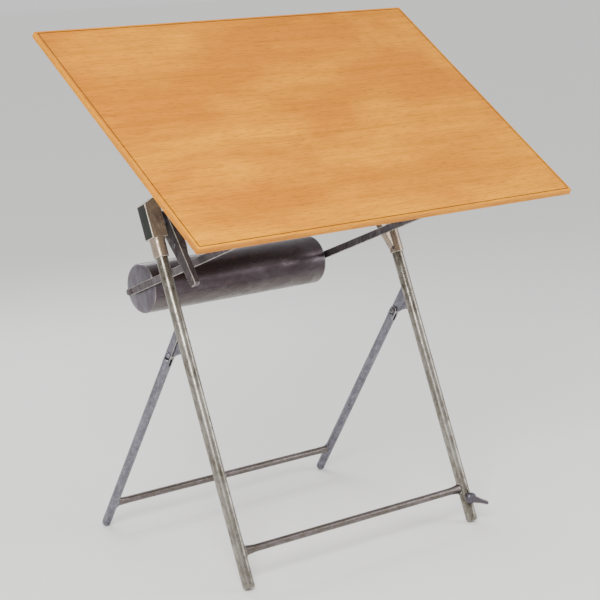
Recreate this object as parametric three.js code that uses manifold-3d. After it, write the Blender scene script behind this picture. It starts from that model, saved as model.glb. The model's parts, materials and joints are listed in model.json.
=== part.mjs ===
// Counterbalanced folding drafting table, in millimetres, +Z up.
// +X is the right-hand side of somebody who stands at the table and +Y points to its back.
// The origin is on the floor, under the middle of the whole table.
import * as THREE from 'three';
import { mergeVertices } from 'three/addons/utils/BufferGeometryUtils.js';
import Module from 'manifold-3d';

const wasm = await Module();
wasm.setup();

const DEG = Math.PI / 180;

// Driving dimensions.
const GAP = 0.3;                    // clearance between touching pieces
const LEG_HALF_SPAN = 410;          // leg centre lines from the middle plane
const FRONT_FOOT_Y = -281.13;       // where the front leg centre lines meet the floor
const FRONT_LEAN = 22.5 * DEG;      // front legs lean back going up
const REAR_LEAN = 33.3 * DEG;       // rear legs lean forward going up
const FRONT_TUBE = { radius: 16.85, bore: 13.65 };
const REAR_TUBE = { radius: 13.45, bore: 10.55 };
const CROSS_TUBE = { radius: 10.65, bore: 8.05 };
const ROUND = 24;                   // sides of a tube or a round bar

const FRONT_LEG_TOP = 1000;         // along the leg from the floor point
const FRONT_BAR_ALONG = 104.8;      // front crossbar, along the front leg
const REAR_BAR_ALONG = 96.9;        // rear crossbar, along the rear leg
const HINGE_ALONG = 674;            // fold hinge, along the front leg
const HINGE_BEHIND = 84.5;          // fold hinge, behind the front leg's centre line
const SHAFT_ALONG = 1034;           // tilt shaft, along the front leg

const BOARD = { width: 1300, depth: 890, thick: 18, corner: 9, arris: 2.5, forward: 7 };
const BOARD_TILT = 34.2 * DEG;
const BOARD_TOP = 338;              // board's upper face above the tilt shaft
const BATTEN = { width: 32, height: 38, length: 780 };
const ARM = { inner: 327.3, thick: 8, width: 22 };
const DRUM = {
  radius: 73, halfLength: 321, wall: 4, cap: 10, lip: 8, rim: 5, rimStep: 1.5,
  back: 51.5, below: 316.6,
};
const ARM_ANGLE = 124.4 * DEG;      // arm direction in the board's own plane axes
const SHAFT_RADIUS = 10;
const DRUM_SIDES = 40;
const DRUM_BOLT = { radius: 6, hole: 6.3, head: 11, headThick: 7, rim: 2, depth: 10 };
const DRUM_PIN = { radius: 3, hole: 3.3, beyond: 8, depth: 4, proud: 1.5 };
const HUB = { radius: 22, outer: 348.5 };
const LEVER = {
  outer: 375, innerWide: 350, innerNarrow: 358, sheet: 2.5, washer: 16, washerOuter: 383.7,
  swing: 35.5 * DEG, front: -27, tip: -213, tipBack: -3, tipRise: 3, toeRound: 6,
  rear: [22, -45], flareLow: -120, flareHigh: -87,
};
const LEVER_RIVET = { radius: 4, hole: 4.3, head: 7, headThick: 3, at: [-3, -80] };

// Materials.
function finish(color, roughness, metalness) {
  return new THREE.MeshStandardMaterial({ color, roughness, metalness });
}
const frontSteel = finish('#8d8570', 0.42, 0.85);
const rearSteel = finish('#85828a', 0.45, 0.85);
const castIron = finish('#77705f', 0.5, 0.8);
const pressedSteel = finish('#5f5b56', 0.45, 0.85);
const drumSteel = finish('#5c5054', 0.5, 0.8);
const hardware = finish('#8a888c', 0.4, 0.9);
const boardWood = finish('#d79a5e', 0.45, 0);
const battenWood = finish('#b98550', 0.55, 0);

// Solid helpers.
function toSolid(geometry) {
  const bare = geometry.clone();
  bare.deleteAttribute('normal');
  bare.deleteAttribute('uv');
  const merged = mergeVertices(bare);
  return new wasm.Manifold(new wasm.Mesh({
    numProp: 3,
    vertProperties: Float32Array.from(merged.attributes.position.array),
    triVerts: Uint32Array.from(merged.index.array),
  }));
}

function toGeometry(solid) {
  const mesh = solid.getMesh();
  const geometry = new THREE.BufferGeometry();
  geometry.setAttribute('position', new THREE.BufferAttribute(mesh.vertProperties, 3));
  geometry.setIndex(new THREE.BufferAttribute(mesh.triVerts, 1));
  geometry.computeVertexNormals();
  return geometry;
}

function combine(additions, cuts = []) {
  let solid = toSolid(additions[0]);
  for (const geometry of additions.slice(1)) {
    solid = solid.add(toSolid(geometry));
  }
  for (const geometry of cuts) {
    solid = solid.subtract(toSolid(geometry));
  }
  return toGeometry(solid);
}

// Revolves [radius, height] points about +Z, listed from the bottom up the outside.
function turned(profile, sides = ROUND) {
  const points = profile.map(([radius, height]) => new THREE.Vector2(radius, height));
  return new THREE.LatheGeometry(points, sides).rotateX(Math.PI / 2);
}

function rod(radius, low, high, sides = ROUND) {
  return turned([[0, low], [radius, low], [radius, high], [0, high]], sides);
}

function tube(radius, bore, low, high, sides = ROUND) {
  return turned([[bore, low], [radius, low], [radius, high], [bore, high], [bore, low]], sides);
}

function rodAlongX(radius, low, high, sides = ROUND) {
  return rod(radius, low, high, sides).rotateY(Math.PI / 2);
}

function block(x0, x1, y0, y1, z0, z1) {
  return new THREE.BoxGeometry(x1 - x0, y1 - y0, z1 - z0)
    .translate((x0 + x1) / 2, (y0 + y1) / 2, (z0 + z1) / 2);
}

// Extrudes a closed outline in the YZ plane along X, from x0 to x1.
function plate(outline, x0, x1, curveSegments = 8) {
  const geometry = new THREE.ExtrudeGeometry(outline, {
    depth: x1 - x0, bevelEnabled: false, curveSegments,
  });
  const yzPlane = new THREE.Matrix4().makeBasis(
    new THREE.Vector3(0, 1, 0), new THREE.Vector3(0, 0, 1), new THREE.Vector3(1, 0, 0));
  return geometry.applyMatrix4(yzPlane).translate(x0, 0, 0);
}

function polygon(points) {
  return new THREE.Shape(points.map(([a, b]) => new THREE.Vector2(a, b)));
}

// A bar outline with round ends of half width r about two centres.
function roundedBar(start, end, r) {
  const angle = Math.atan2(end[1] - start[1], end[0] - start[0]);
  const shape = new THREE.Shape();
  shape.absarc(end[0], end[1], r, angle - Math.PI / 2, angle + Math.PI / 2, false);
  shape.absarc(start[0], start[1], r, angle + Math.PI / 2, angle + 3 * Math.PI / 2, false);
  return shape;
}

function piece(name, geometry, material) {
  const mesh = new THREE.Mesh(geometry, material);
  mesh.name = name;
  return mesh;
}

const SIDES = [{ side: 'left', sign: -1 }, { side: 'right', sign: 1 }];

const table = new THREE.Group();

// Front frame: local +Z runs up along the front legs and +Y squarely behind them.
const frontFrame = new THREE.Group();
frontFrame.position.set(0, FRONT_FOOT_Y, 0);
frontFrame.rotation.x = -FRONT_LEAN;
table.add(frontFrame);

// Height of a leaning tube's end when its rounded foot just meets the floor.
const FOOT_ROUND = 8;
function footEnd(radius, lean) {
  return (FOOT_ROUND + (radius - FOOT_ROUND) * Math.sin(lean)) / Math.cos(lean) - FOOT_ROUND;
}

// A foot: rounded shoe from low to tubeEnd and a spigot that fills the tube's bore.
function foot(outer, bore, low, tubeEnd, spigotTop) {
  const steps = 4;
  const profile = [[0, low]];
  for (let i = 0; i <= steps; i += 1) {
    const turn = i / steps * Math.PI / 2;
    profile.push([
      outer - FOOT_ROUND + FOOT_ROUND * Math.sin(turn),
      low + FOOT_ROUND - FOOT_ROUND * Math.cos(turn),
    ]);
  }
  const shoulder = tubeEnd - GAP;
  profile.push([outer, shoulder], [bore - GAP, shoulder], [bore - GAP, spigotTop], [0, spigotTop]);
  return turned(profile);
}

const SHOE_HEIGHT = 16;
const frontFootLow = footEnd(FRONT_TUBE.radius, FRONT_LEAN);
const frontTubeEnd = frontFootLow + SHOE_HEIGHT;
const SPIGOT = 30;

// Wing bolt of the levelling foot: level with the floor, turned a little inwards.
const BOLT_TURN = -13 * DEG;
const BOLT_ALONG = 83;
const BOLT_RADIUS = 5;
const FOOT_TRAVEL = 15;
const SLOT_SPARE = 2;               // slot beyond the travel at each end
const SLOT_CLEAR = 0.6;
const boltPlace = new THREE.Matrix4()
  .makeTranslation(LEG_HALF_SPAN, 0, BOLT_ALONG)
  .multiply(new THREE.Matrix4().makeRotationX(FRONT_LEAN))
  .multiply(new THREE.Matrix4().makeRotationZ(BOLT_TURN));

// A slot along the path of the bolt, whose cutter runs out of the tube's front.
// The bolt is turned inwards, so its path drifts sideways as the foot slides down the leaning leg.
function slotCutter() {
  const halfTravel = FOOT_TRAVEL + SLOT_SPARE;
  const drift = halfTravel * Math.tan(FRONT_LEAN) * Math.sin(BOLT_TURN);
  const shape = roundedBar([-drift, -halfTravel], [drift, halfTravel], BOLT_RADIUS + SLOT_CLEAR);
  const settings = { depth: 40, bevelEnabled: false, curveSegments: 6 };
  return new THREE.ExtrudeGeometry(shape, settings).rotateX(Math.PI / 2).applyMatrix4(boltPlace);
}

const legTube = (x) => tube(FRONT_TUBE.radius, FRONT_TUBE.bore, frontTubeEnd, FRONT_LEG_TOP)
  .translate(x, 0, 0);
frontFrame.add(piece('left_front_leg', legTube(-LEG_HALF_SPAN), frontSteel));
frontFrame.add(piece('right_front_leg', combine([legTube(LEG_HALF_SPAN)], [slotCutter()]), frontSteel));

// A crossbar with ends scooped to sit on the legs.
function crossbar(along, legRadius) {
  const bar = tube(CROSS_TUBE.radius, CROSS_TUBE.bore, -LEG_HALF_SPAN, LEG_HALF_SPAN)
    .rotateY(Math.PI / 2).translate(0, 0, along);
  const legs = SIDES.map(({ sign }) => rod(legRadius + GAP, along - 60, along + 60)
    .translate(sign * LEG_HALF_SPAN, 0, 0));
  return combine([bar], legs);
}
frontFrame.add(piece('front_crossbar', crossbar(FRONT_BAR_ALONG, FRONT_TUBE.radius), frontSteel));
frontFrame.add(piece('left_front_foot',
  foot(FRONT_TUBE.radius, FRONT_TUBE.bore, frontFootLow, frontTubeEnd, frontTubeEnd + SPIGOT)
    .translate(-LEG_HALF_SPAN, 0, 0), frontSteel));

// Directions of the opened rear leg, seen in the front frame's (Y, Z) plane.
const OPENING = FRONT_LEAN + REAR_LEAN;
const rearUp = [-Math.sin(OPENING), Math.cos(OPENING)];
const rearBack = [Math.cos(OPENING), Math.sin(OPENING)];
const hinge = [HINGE_BEHIND, HINGE_ALONG];
function fromHinge(back, up) {
  return [
    hinge[0] + back * rearBack[0] + up * rearUp[0],
    hinge[1] + back * rearBack[1] + up * rearUp[1],
  ];
}

// Gusset plates that carry the fold hinge behind each front leg.
const GUSSET = { halfThick: 3, edge: 13, foot: 660, sag: [45, 9], toe: [14, 12] };
const PIN_RADIUS = 4.9;
const PIN_HOLE = 5.2;
function gusset() {
  const legBack = FRONT_TUBE.radius + GAP;
  const apexUp = (hinge[0] + GUSSET.edge * rearBack[0] - legBack) / -rearUp[0];
  const outline = new THREE.Shape();
  outline.moveTo(legBack, GUSSET.foot);
  outline.quadraticCurveTo(
    GUSSET.sag[0], GUSSET.foot + GUSSET.sag[1], hinge[0] - GUSSET.toe[0], hinge[1] - GUSSET.toe[1]);
  outline.absarc(hinge[0], hinge[1], GUSSET.edge, -135 * DEG, OPENING, false);
  outline.lineTo(...fromHinge(GUSSET.edge, apexUp));
  outline.closePath();
  return outline;
}
SIDES.forEach(({ side, sign }) => {
  const x = sign * LEG_HALF_SPAN;
  const body = plate(gusset(), x - GUSSET.halfThick, x + GUSSET.halfThick, 6);
  const hole = rodAlongX(PIN_HOLE, x - 20, x + 20, 16).translate(0, ...hinge);
  frontFrame.add(piece(`${side}_hinge_gusset`, combine([body], [hole]), rearSteel));
});

// Fold hinge bolts, heads on the outside, nuts on the inside.
const CHEEK = { thick: 4, halfWidth: 13, inner: GUSSET.halfThick + GAP };
const cheekOuter = CHEEK.inner + CHEEK.thick;
const FOLD_BOLT = { head: 9, headThick: 6, crown: 6.5, rim: 4, beyond: 9, nut: 8.5, nutThick: 7 };
SIDES.forEach(({ side, sign }) => {
  const x = sign * LEG_HALF_SPAN;
  const seat = cheekOuter + GAP;
  const end = -seat - FOLD_BOLT.beyond;
  const crown = seat + FOLD_BOLT.headThick;
  const bolt = turned([
    [0, end], [PIN_RADIUS, end], [PIN_RADIUS, seat], [FOLD_BOLT.head, seat],
    [FOLD_BOLT.head, seat + FOLD_BOLT.rim], [FOLD_BOLT.crown, crown], [0, crown],
  ], 16).rotateY(sign * Math.PI / 2).translate(x, ...hinge);
  const hexagon = rod(FOLD_BOLT.nut, -seat - FOLD_BOLT.nutThick, -seat, 6);
  const nut = combine([hexagon], [rod(PIN_HOLE, end - 1, 0, 16)])
    .rotateY(sign * Math.PI / 2).translate(x, ...hinge);
  frontFrame.add(piece(`${side}_hinge_bolt`, bolt, hardware));
  frontFrame.add(piece(`${side}_hinge_nut`, nut, hardware));
});

// Head castings: a socket on the leg top and a box that carries the tilt shaft.
const HEAD = { halfDepth: 21.5, boxLow: 985, boxHigh: 1084, rise: 20, outer: 24, slopeEnd: 22 };
const SOCKET_CLEAR = FRONT_TUBE.radius + GAP;
const SHAFT_HOLE = SHAFT_RADIUS + 0.15;
const SHAFT_END = 420;

// Extrudes an outline in the XZ plane along Y, from -halfDepth to halfDepth.
function slab(points, halfDepth) {
  return new THREE.ExtrudeGeometry(polygon(points), { depth: 2 * halfDepth, bevelEnabled: false })
    .rotateX(Math.PI / 2).translate(0, halfDepth, 0);
}

// Box whose top rises towards the middle of the table; inward is the sign of that direction.
function headBox(x, inward, reach) {
  const high = HEAD.boxHigh + HEAD.rise;
  return slab([
    [x - inward * HEAD.outer, HEAD.boxLow], [x + inward * reach, HEAD.boxLow],
    [x + inward * reach, high], [x + inward * HEAD.slopeEnd, high],
    [x - inward * HEAD.outer, HEAD.boxHigh],
  ], HEAD.halfDepth);
}

const LEFT_SOCKET = { radius: 21.5, low: 932 };
const RIGHT_SOCKET = { radius: 20.5, low: 834, flareLow: 846, reach: 60, flareHalfThick: 11 };
const SCREW = { radius: 4, hole: 4.3, length: 2.6 };

// A short cross hole or screw at a height up the leg, turned about the leg from +X.
function across(radius, near, far, turn, x, along) {
  return rodAlongX(radius, near, far, 12).rotateZ(turn).translate(x, 0, along);
}

const HEADS = {
  left: { inward: 1, reach: 26, socket: LEFT_SOCKET, screwTurn: 60 * DEG, screwUp: 16 },
  right: {
    inward: -1, reach: RIGHT_SOCKET.reach, socket: RIGHT_SOCKET, screwTurn: 205 * DEG, screwUp: 14,
  },
};
SIDES.forEach(({ side, sign }) => {
  const x = sign * LEG_HALF_SPAN;
  const { inward, reach, socket, screwTurn, screwUp } = HEADS[side];
  const additions = [
    headBox(x, inward, reach),
    rod(socket.radius, socket.low, HEAD.boxLow + 5).translate(x, 0, 0),
  ];
  if (socket.flareLow) {
    additions.push(slab([
      [x - reach, HEAD.boxLow + 5], [x - reach, HEAD.boxLow],
      [x - socket.radius + 2, socket.flareLow], [x, socket.flareLow], [x, HEAD.boxLow + 5],
    ], socket.flareHalfThick));
  }
  const screwAlong = socket.low + screwUp;
  const cuts = [
    rod(SOCKET_CLEAR, socket.low - 10, FRONT_LEG_TOP + GAP).translate(x, 0, 0),
    rodAlongX(SHAFT_HOLE, -SHAFT_END - 1, SHAFT_END + 1).translate(0, 0, SHAFT_ALONG),
    across(SCREW.hole, 10, 40, screwTurn, x, screwAlong),
  ];
  const screwEnd = SOCKET_CLEAR + SCREW.length;
  const screw = across(SCREW.radius, SOCKET_CLEAR, screwEnd, screwTurn, x, screwAlong);
  frontFrame.add(piece(`${side}_head`, combine(additions, cuts), castIron));
  frontFrame.add(piece(`${side}_head_screw`, screw, hardware));
});

// Levelling foot: its spigot slides in the right front leg and takes the wing bolt.
const slideTop = BOLT_ALONG + 24;
const rightFoot = foot(FRONT_TUBE.radius, FRONT_TUBE.bore, frontFootLow, frontTubeEnd, slideTop)
  .translate(LEG_HALF_SPAN, 0, 0);
const SHANK_END = -6;               // wing bolt's end, past the leg's centre line
const boltHole = rod(BOLT_RADIUS + GAP, SHANK_END - 2, 30, 16)
  .rotateX(Math.PI / 2).applyMatrix4(boltPlace);
frontFrame.add(piece('levelling_foot', combine([rightFoot], [boltHole]), frontSteel));

// Saddle washer: round outside, hollowed to sit on the tube under the level bolt.
const SADDLE = { radius: 10, inner: 8, outer: 23.5 };
const saddle = combine(
  [rod(SADDLE.radius, SADDLE.inner, SADDLE.outer).rotateX(Math.PI / 2).applyMatrix4(boltPlace)],
  [
    rod(FRONT_TUBE.radius + GAP, BOLT_ALONG - 40, BOLT_ALONG + 40).translate(LEG_HALF_SPAN, 0, 0),
    boltHole,
  ],
);
frontFrame.add(piece('bolt_saddle', saddle, hardware));

// Wing bolt: shank, flared hub and one long swept wing, built along +Z and laid along the bolt.
const WING_TURN = -20 * DEG;
const WING = { reach: 46, tip: 6.5, root: 15, inner: 31, thick: 9, sweep: 0.3 };
const WING_HUB = { foot: 10, radius: 17, flare: 31, shoulder: 39, crown: 12, top: 44 };
function wing() {
  const shape = new THREE.Shape();
  shape.moveTo(0, -WING.root);
  shape.quadraticCurveTo(WING.reach / 3, -WING.root, WING.reach, -WING.tip);
  shape.absarc(WING.reach, 0, WING.tip, -Math.PI / 2, Math.PI / 2, false);
  shape.quadraticCurveTo(WING.reach / 3, WING.root, 0, WING.root);
  shape.closePath();
  const settings = { depth: WING.thick, bevelEnabled: false, curveSegments: 6 };
  return new THREE.ExtrudeGeometry(shape, settings)
    .applyMatrix4(new THREE.Matrix4().makeShear(0, WING.sweep, 0, 0, 0, 0))
    .translate(0, 0, WING.inner);
}
const shank = BOLT_RADIUS - 0.1;
const wingSeat = SADDLE.outer + GAP;
const wingBolt = combine([
  turned([
    [0, SHANK_END], [shank, SHANK_END], [shank, wingSeat], [WING_HUB.foot, wingSeat],
    [WING_HUB.radius, WING_HUB.flare], [WING_HUB.radius, WING_HUB.shoulder],
    [WING_HUB.crown, WING_HUB.top], [0, WING_HUB.top],
  ]),
  wing(),
]);
frontFrame.add(piece('wing_bolt',
  wingBolt.rotateZ(WING_TURN).rotateX(Math.PI / 2).applyMatrix4(boltPlace), hardware));

// Rear frame: local +Z runs up along the rear legs from the fold hinge.
const rearFrame = new THREE.Group();
rearFrame.position.set(0, HINGE_BEHIND, HINGE_ALONG);
rearFrame.rotation.x = OPENING;
frontFrame.add(rearFrame);

const hingeHeight = HINGE_ALONG * Math.cos(FRONT_LEAN) - HINGE_BEHIND * Math.sin(FRONT_LEAN);
const rearFloor = -hingeHeight / Math.cos(REAR_LEAN);
const rearFootLow = rearFloor + footEnd(REAR_TUBE.radius, REAR_LEAN);
const rearTubeEnd = rearFootLow + SHOE_HEIGHT;
const REAR_ROUND_TOP = -12;
const SLOT_DEPTH = 30;

// Tongue: the outer cheek, cut to rest against the back of the opened front leg.
const tongueReach = HINGE_BEHIND - FRONT_TUBE.radius - 2 * GAP;
const tongueEnd = (back) => (tongueReach + back * Math.cos(OPENING)) / Math.sin(OPENING);
const CHEEK_TAPER = { from: -24, to: -38, halfWidth: 9 };
const tongue = polygon([
  [-CHEEK_TAPER.halfWidth, CHEEK_TAPER.to], [CHEEK_TAPER.halfWidth, CHEEK_TAPER.to],
  [CHEEK.halfWidth, CHEEK_TAPER.from], [CHEEK.halfWidth, tongueEnd(CHEEK.halfWidth)],
  [-CHEEK.halfWidth, tongueEnd(-CHEEK.halfWidth)], [-CHEEK.halfWidth, CHEEK_TAPER.from],
]);
const shortCheek = roundedBar([0, CHEEK_TAPER.from], [0, 0], CHEEK.halfWidth);

SIDES.forEach(({ side, sign }) => {
  const x = sign * LEG_HALF_SPAN;
  const between = (a, b) => [x + Math.min(sign * a, sign * b), x + Math.max(sign * a, sign * b)];
  const leg = tube(REAR_TUBE.radius, REAR_TUBE.bore, rearTubeEnd, REAR_ROUND_TOP)
    .translate(x, 0, 0);
  const outerCheek = plate(tongue, ...between(CHEEK.inner, cheekOuter));
  const innerCheek = plate(shortCheek, ...between(-cheekOuter, -CHEEK.inner));
  const slot = block(x - CHEEK.inner, x + CHEEK.inner, -20, 20, -SLOT_DEPTH, 20);
  const hole = rodAlongX(PIN_HOLE, x - 20, x + 20, 16);
  const forked = combine([leg, outerCheek, innerCheek], [slot, hole]);
  rearFrame.add(piece(`${side}_rear_leg`, forked, rearSteel));
  rearFrame.add(piece(`${side}_rear_foot`,
    foot(REAR_TUBE.radius, REAR_TUBE.bore, rearFootLow, rearTubeEnd, rearTubeEnd + SPIGOT)
      .translate(x, 0, 0), rearSteel));
});
const rearBar = crossbar(rearFloor + REAR_BAR_ALONG, REAR_TUBE.radius);
rearFrame.add(piece('rear_crossbar', rearBar, rearSteel));

// Board frame: origin on the tilt shaft, local +Y up the board and +Z square to its face.
const boardFrame = new THREE.Group();
boardFrame.position.set(
  0,
  FRONT_FOOT_Y + SHAFT_ALONG * Math.sin(FRONT_LEAN),
  SHAFT_ALONG * Math.cos(FRONT_LEAN),
);
boardFrame.rotation.x = BOARD_TILT;
table.add(boardFrame);

boardFrame.add(piece('tilt_shaft', rodAlongX(SHAFT_RADIUS, -SHAFT_END, SHAFT_END), hardware));

function boardOutline() {
  const halfX = BOARD.width / 2;
  const halfY = BOARD.depth / 2;
  const r = BOARD.corner;
  const shape = new THREE.Shape();
  shape.absarc(halfX - r, -halfY + r, r, -Math.PI / 2, 0, false);
  shape.absarc(halfX - r, halfY - r, r, 0, Math.PI / 2, false);
  shape.absarc(-halfX + r, halfY - r, r, Math.PI / 2, Math.PI, false);
  shape.absarc(-halfX + r, -halfY + r, r, Math.PI, 3 * Math.PI / 2, false);
  return shape;
}
const board = new THREE.ExtrudeGeometry(boardOutline(), {
  depth: BOARD.thick - 2 * BOARD.arris,
  curveSegments: 5,
  bevelThickness: BOARD.arris,
  bevelSize: BOARD.arris,
  bevelOffset: -BOARD.arris,
  bevelSegments: 1,
}).translate(0, -BOARD.forward, BOARD_TOP - BOARD.thick + BOARD.arris);
boardFrame.add(piece('drawing_board', board, boardWood));

// Battens under the board, with the bolts that hold the arms and brackets to them.
const battenOuter = ARM.inner - GAP;
const battenTop = BOARD_TOP - BOARD.thick - GAP;
const battenMiddle = battenTop - BATTEN.height / 2;
const armDirection = [Math.cos(ARM_ANGLE), Math.sin(ARM_ANGLE)];
const drumCentre = [DRUM.back, -DRUM.below];
const alongArm = (distance) => [
  drumCentre[0] + distance * armDirection[0],
  drumCentre[1] + distance * armDirection[1],
];
const BOLT_BEYOND = 30;
const armStart = alongArm(-BOLT_BEYOND);
const pinPlace = alongArm(-DRUM_PIN.beyond);
const armFront = alongArm((battenMiddle - drumCentre[1]) / armDirection[1]);
const BRACKET = {
  thick: 6, hub: 26, halfBase: 100, boltOffset: 78, baseDepth: 28, windowLow: 60,
  windowTopMargin: 26, rib: 22.8,
};
const COACH = { radius: 4, hole: 4.3, depth: 26, head: 8, headThick: 4.5 };
const battenBolts = [
  { name: 'arm_bolt', at: armFront, plateThick: ARM.thick },
  { name: 'bracket_front_bolt', at: [-BRACKET.boltOffset, battenMiddle], plateThick: BRACKET.thick },
  { name: 'bracket_rear_bolt', at: [BRACKET.boltOffset, battenMiddle], plateThick: BRACKET.thick },
];
const SCREW_SPOTS = [-330, 0, 330];
const WOOD_SCREW = { radius: 2.5, head: 6, headThick: 4, sink: 12 };

// A round hole or bar that stands upright in a batten, under the board.
function upright(radius, low, high, x, y) {
  return rod(radius, low, high, 12).translate(x, y, 0);
}

// A round hole or bar across a plate that stands in the YZ plane.
function throughPlates(radius, at, sides = 16) {
  return rodAlongX(radius, -450, 450, sides).translate(0, ...at);
}

// Bracket plate: from a round end on the shaft to a wide edge on the batten.
function bracketOutline() {
  const low = battenMiddle - BRACKET.baseDepth / 2;
  const high = battenMiddle + BRACKET.baseDepth / 2;
  const shape = new THREE.Shape();
  shape.absarc(0, 0, BRACKET.hub, 160 * DEG, 380 * DEG, false);
  shape.lineTo(BRACKET.halfBase, low);
  shape.lineTo(BRACKET.halfBase, high);
  shape.lineTo(-BRACKET.halfBase, high);
  shape.lineTo(-BRACKET.halfBase, low);
  shape.closePath();
  const edgeAt = (up) => BRACKET.hub + (BRACKET.halfBase - BRACKET.hub) * up / low - BRACKET.rib;
  const windowHigh = low - BRACKET.windowTopMargin;
  const opening = new THREE.Path();
  opening.moveTo(-edgeAt(BRACKET.windowLow), BRACKET.windowLow);
  opening.lineTo(edgeAt(BRACKET.windowLow), BRACKET.windowLow);
  opening.lineTo(edgeAt(windowHigh), windowHigh);
  opening.lineTo(-edgeAt(windowHigh), windowHigh);
  opening.closePath();
  shape.holes.push(opening);
  return shape;
}

const screwHead = battenTop - BATTEN.height;
SIDES.forEach(({ side, sign }) => {
  const span = (inner, outer) => (sign > 0 ? [inner, outer] : [-outer, -inner]);
  const battenX = sign * (battenOuter - BATTEN.width / 2);
  const batten = block(
    ...span(battenOuter - BATTEN.width, battenOuter),
    -BOARD.forward - BATTEN.length / 2, -BOARD.forward + BATTEN.length / 2,
    battenTop - BATTEN.height, battenTop,
  );
  const boltHoles = battenBolts.map(({ at }) => rodAlongX(
    COACH.hole, ...span(battenOuter - COACH.depth - 1, battenOuter + 5), 12).translate(0, ...at));
  const screwHoles = SCREW_SPOTS.flatMap((y) => [
    upright(WOOD_SCREW.radius + GAP, screwHead - 1, battenTop + 1, battenX, y),
    upright(WOOD_SCREW.head + GAP, screwHead - 1, screwHead + WOOD_SCREW.sink, battenX, y),
  ]);
  const drilled = combine([batten], [...boltHoles, ...screwHoles]);
  boardFrame.add(piece(`${side}_batten`, drilled, battenWood));
  SCREW_SPOTS.forEach((y, index) => {
    const seat = screwHead + WOOD_SCREW.sink;
    const screw = turned([
      [0, seat - WOOD_SCREW.headThick], [WOOD_SCREW.head, seat - WOOD_SCREW.headThick],
      [WOOD_SCREW.head, seat - GAP], [WOOD_SCREW.radius, seat - GAP],
      [WOOD_SCREW.radius, battenTop - GAP], [0, battenTop - GAP],
    ], 12).translate(battenX, y, 0);
    boardFrame.add(piece(`${side}_board_screw_${index + 1}`, screw, hardware));
  });

  battenBolts.forEach(({ name, at, plateThick }) => {
    const seat = ARM.inner + plateThick + GAP;
    const bolt = turned([
      [0, battenOuter - COACH.depth], [COACH.radius, battenOuter - COACH.depth],
      [COACH.radius, seat], [COACH.head, seat], [COACH.head - 2, seat + COACH.headThick],
      [0, seat + COACH.headThick],
    ], 12).rotateY(sign * Math.PI / 2).translate(0, ...at);
    boardFrame.add(piece(`${side}_${name}`, bolt, hardware));
  });

  // Arm and bracket both stand against the batten's outer face.
  const arm = plate(
    roundedBar(armStart, armFront, ARM.width / 2), ...span(ARM.inner, ARM.inner + ARM.thick));
  boardFrame.add(piece(`${side}_arm`, combine([arm], [
    throughPlates(COACH.hole, armFront, 12),
    throughPlates(DRUM_BOLT.hole, armStart),
    throughPlates(DRUM_PIN.hole, pinPlace, 12),
  ]), pressedSteel));
  const bracket = plate(bracketOutline(), ...span(ARM.inner, ARM.inner + BRACKET.thick));
  boardFrame.add(piece(`${side}_bracket`, combine([bracket], [
    throughPlates(SHAFT_HOLE, [0, 0], ROUND),
    ...battenBolts.slice(1).map(({ at }) => throughPlates(COACH.hole, at, 12)),
  ]), pressedSteel));
  const hub = tube(HUB.radius, SHAFT_HOLE, ARM.inner + BRACKET.thick + GAP, HUB.outer)
    .rotateY(sign * Math.PI / 2);
  boardFrame.add(piece(`${side}_hub`, hub, castIron));

  // Drum cap, the bolt and the locating pin that hold the arm to it.
  const capInner = DRUM.halfLength - DRUM.cap;
  const capSolid = turned([
    [0, capInner - DRUM.lip], [DRUM.radius - DRUM.wall - GAP, capInner - DRUM.lip],
    [DRUM.radius - DRUM.wall - GAP, capInner], [DRUM.radius, capInner],
    [DRUM.radius, DRUM.halfLength - DRUM.rim],
    [DRUM.radius - DRUM.rimStep, DRUM.halfLength - DRUM.rimStep],
    [DRUM.radius - DRUM.rim, DRUM.halfLength], [0, DRUM.halfLength],
  ], DRUM_SIDES).rotateY(sign * Math.PI / 2).translate(0, ...drumCentre);
  boardFrame.add(piece(`${side}_drum_cap`, combine([capSolid], [
    throughPlates(DRUM_BOLT.hole, armStart), throughPlates(DRUM_PIN.hole, pinPlace, 12),
  ]), drumSteel));
  const armOuter = ARM.inner + ARM.thick + GAP;
  const boltEnd = capInner - DRUM_BOLT.depth;
  const boltTop = armOuter + DRUM_BOLT.headThick;
  const drumBolt = turned([
    [0, boltEnd], [DRUM_BOLT.radius, boltEnd], [DRUM_BOLT.radius, armOuter],
    [DRUM_BOLT.head, armOuter], [DRUM_BOLT.head, boltTop - DRUM_BOLT.rim],
    [DRUM_BOLT.head - DRUM_BOLT.rim, boltTop], [0, boltTop],
  ], 16).rotateY(sign * Math.PI / 2).translate(0, ...armStart);
  boardFrame.add(piece(`${side}_drum_bolt`, drumBolt, hardware));
  const drumPin = rod(DRUM_PIN.radius, capInner - DRUM_PIN.depth, armOuter + DRUM_PIN.proud, 12)
    .rotateY(sign * Math.PI / 2).translate(0, ...pinPlace);
  boardFrame.add(piece(`${side}_drum_pin`, drumPin, hardware));
});

// Counterweight drum: a steel shell around an iron bar.
const drumShell = tube(DRUM.radius, DRUM.radius - DRUM.wall,
  GAP - DRUM.halfLength + DRUM.cap, DRUM.halfLength - DRUM.cap - GAP, DRUM_SIDES)
  .rotateY(Math.PI / 2).translate(0, ...drumCentre);
boardFrame.add(piece('drum_shell', drumShell, drumSteel));
const BALLAST = { radius: 13, halfLength: DRUM.halfLength - DRUM.cap - 12 };
boardFrame.add(piece('ballast_bar',
  rodAlongX(BALLAST.radius, -BALLAST.halfLength, BALLAST.halfLength).translate(0, ...drumCentre),
  castIron));
boardFrame.add(piece('shaft_washer',
  tube(LEVER.washer, SHAFT_HOLE, LEVER.outer + GAP, LEVER.washerOuter).rotateY(-Math.PI / 2),
  hardware));

// Tilt lock lever: a tapered channel that hangs from the shaft beside the left head.
const leverFrame = new THREE.Group();
leverFrame.position.copy(boardFrame.position);
leverFrame.rotation.x = -LEVER.swing;
table.add(leverFrame);

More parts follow.
